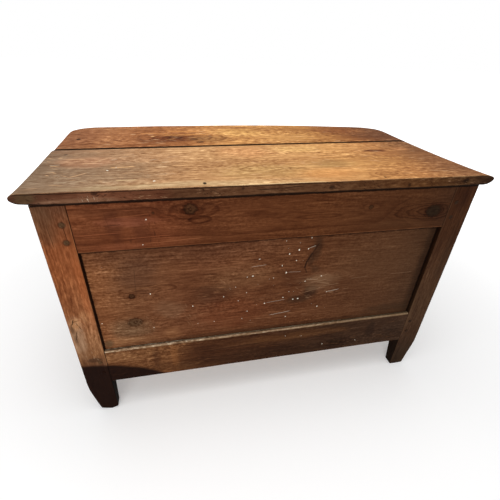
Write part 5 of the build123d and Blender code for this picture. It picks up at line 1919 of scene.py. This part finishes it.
make_posts()
make_rails()
make_panels()
make_lid()
make_floor_boards()
make_inside()
for node, solid in frame["nodes"].items():
    finish = {"iron": IRON, "peg_wood": PEGS}.get(SLOT_OF.get(node))
    if finish:
        solid.data.materials.clear()
        solid.data.materials.append(finish)

# ------------------------------------------------------------------ floor, light and camera


def make_floor():
    """A pale floor that keeps the shadow near the chest, and shows white farther off."""
    material, tree = new_material("pale_floor")
    away = length_of(tree, add(tree, "ShaderNodeTexCoord").outputs["Object"])
    grey = add(tree, "ShaderNodeBsdfDiffuse", {"Color": (0.84, 0.84, 0.84, 1)})
    seen = add(tree, "ShaderNodeLightPath").outputs["Is Camera Ray"]
    strength = maths(tree, "MULTIPLY", seen, ramp(tree, away, 0.9, 2.6, 0.22, 1.0))
    glow = add(tree, "ShaderNodeEmission", {"Strength": strength})
    both = add(tree, "ShaderNodeAddShader", {0: grey.outputs[0], 1: glow.outputs[0]})
    add(tree, "ShaderNodeOutputMaterial", {"Surface": both.outputs[0]})
    half = 14.0
    points = np.array([(-half, -half, 0), (half, -half, 0), (half, half, 0), (-half, half, 0)], float)
    floor = add_mesh("floor", points, [[0, 1, 2, 3]], material, {})


def make_world():
    """Soft white light from all round, seen as white."""
    world = bpy.data.worlds.new("studio")
    world.use_nodes = True
    tree = world.node_tree
    tree.nodes.clear()
    path = add(tree, "ShaderNodeLightPath").outputs
    seen = maths(tree, "MAXIMUM", path["Is Camera Ray"], path["Is Transmission Ray"])
    strength = maths(tree, "MULTIPLY_ADD", seen, 0.55, 0.45)
    light = add(tree, "ShaderNodeBackground", {"Color": (1, 1, 1, 1), "Strength": strength})
    add(tree, "ShaderNodeOutputWorld", {"Surface": light.outputs[0]})
    bpy.context.scene.world = world


def make_lamp(name, place, target, size, power, tone=(1, 1, 1)):
    """A square soft box that looks at a target."""
    lamp = bpy.data.lights.new(name, "AREA")
    lamp.shape = "SQUARE"
    lamp.size = size
    lamp.energy = power
    lamp.color = tone
    holder = bpy.data.objects.new(name, lamp)
    holder.location = place
    holder.rotation_euler = (Vector(target) - Vector(place)).to_track_quat("-Z", "Y").to_euler()
    bpy.context.scene.collection.objects.link(holder)


CAMERA_SETBACK = 0.692  # in front of the case
CAMERA_RISE = 0.300  # above the lid's underside
CAMERA_SIDE = -0.240
CAMERA_LENS = 24.61
CAMERA_RIGHT = (0.97707, -0.20899, 0.04077)
CAMERA_UP = (0.07718, 0.52605, 0.84695)
CAMERA_AHEAD = (0.19845, 0.82438, -0.53012)


def make_camera():
    """The camera at the height and angle that the chest is seen from."""
    view = bpy.data.cameras.new("camera")
    view.lens = CAMERA_LENS
    view.sensor_width = 36
    view.clip_start = 0.01
    camera = bpy.data.objects.new("camera", view)
    columns = [CAMERA_RIGHT, CAMERA_UP, tuple(-c for c in CAMERA_AHEAD)]
    turn = Matrix(columns).transposed()
    place = Vector((CAMERA_SIDE, FACE_Y - CAMERA_SETBACK, LID_UNDER + CAMERA_RISE))
    camera.matrix_world = Matrix.Translation(place) @ turn.to_4x4()
    bpy.context.scene.collection.objects.link(camera)
    bpy.context.scene.camera = camera


make_floor()
make_world()
make_lamp("overhead", (-0.2, -0.3, 3.2), (0.0, 0.0, 0.5), 2.4, 50)
make_lamp("front_left", (-1.4, -3.6, 1.5), (0.0, -0.2, 0.4), 2.4, 64)
make_camera()

bpy.context.scene.view_settings.view_transform = "Standard"
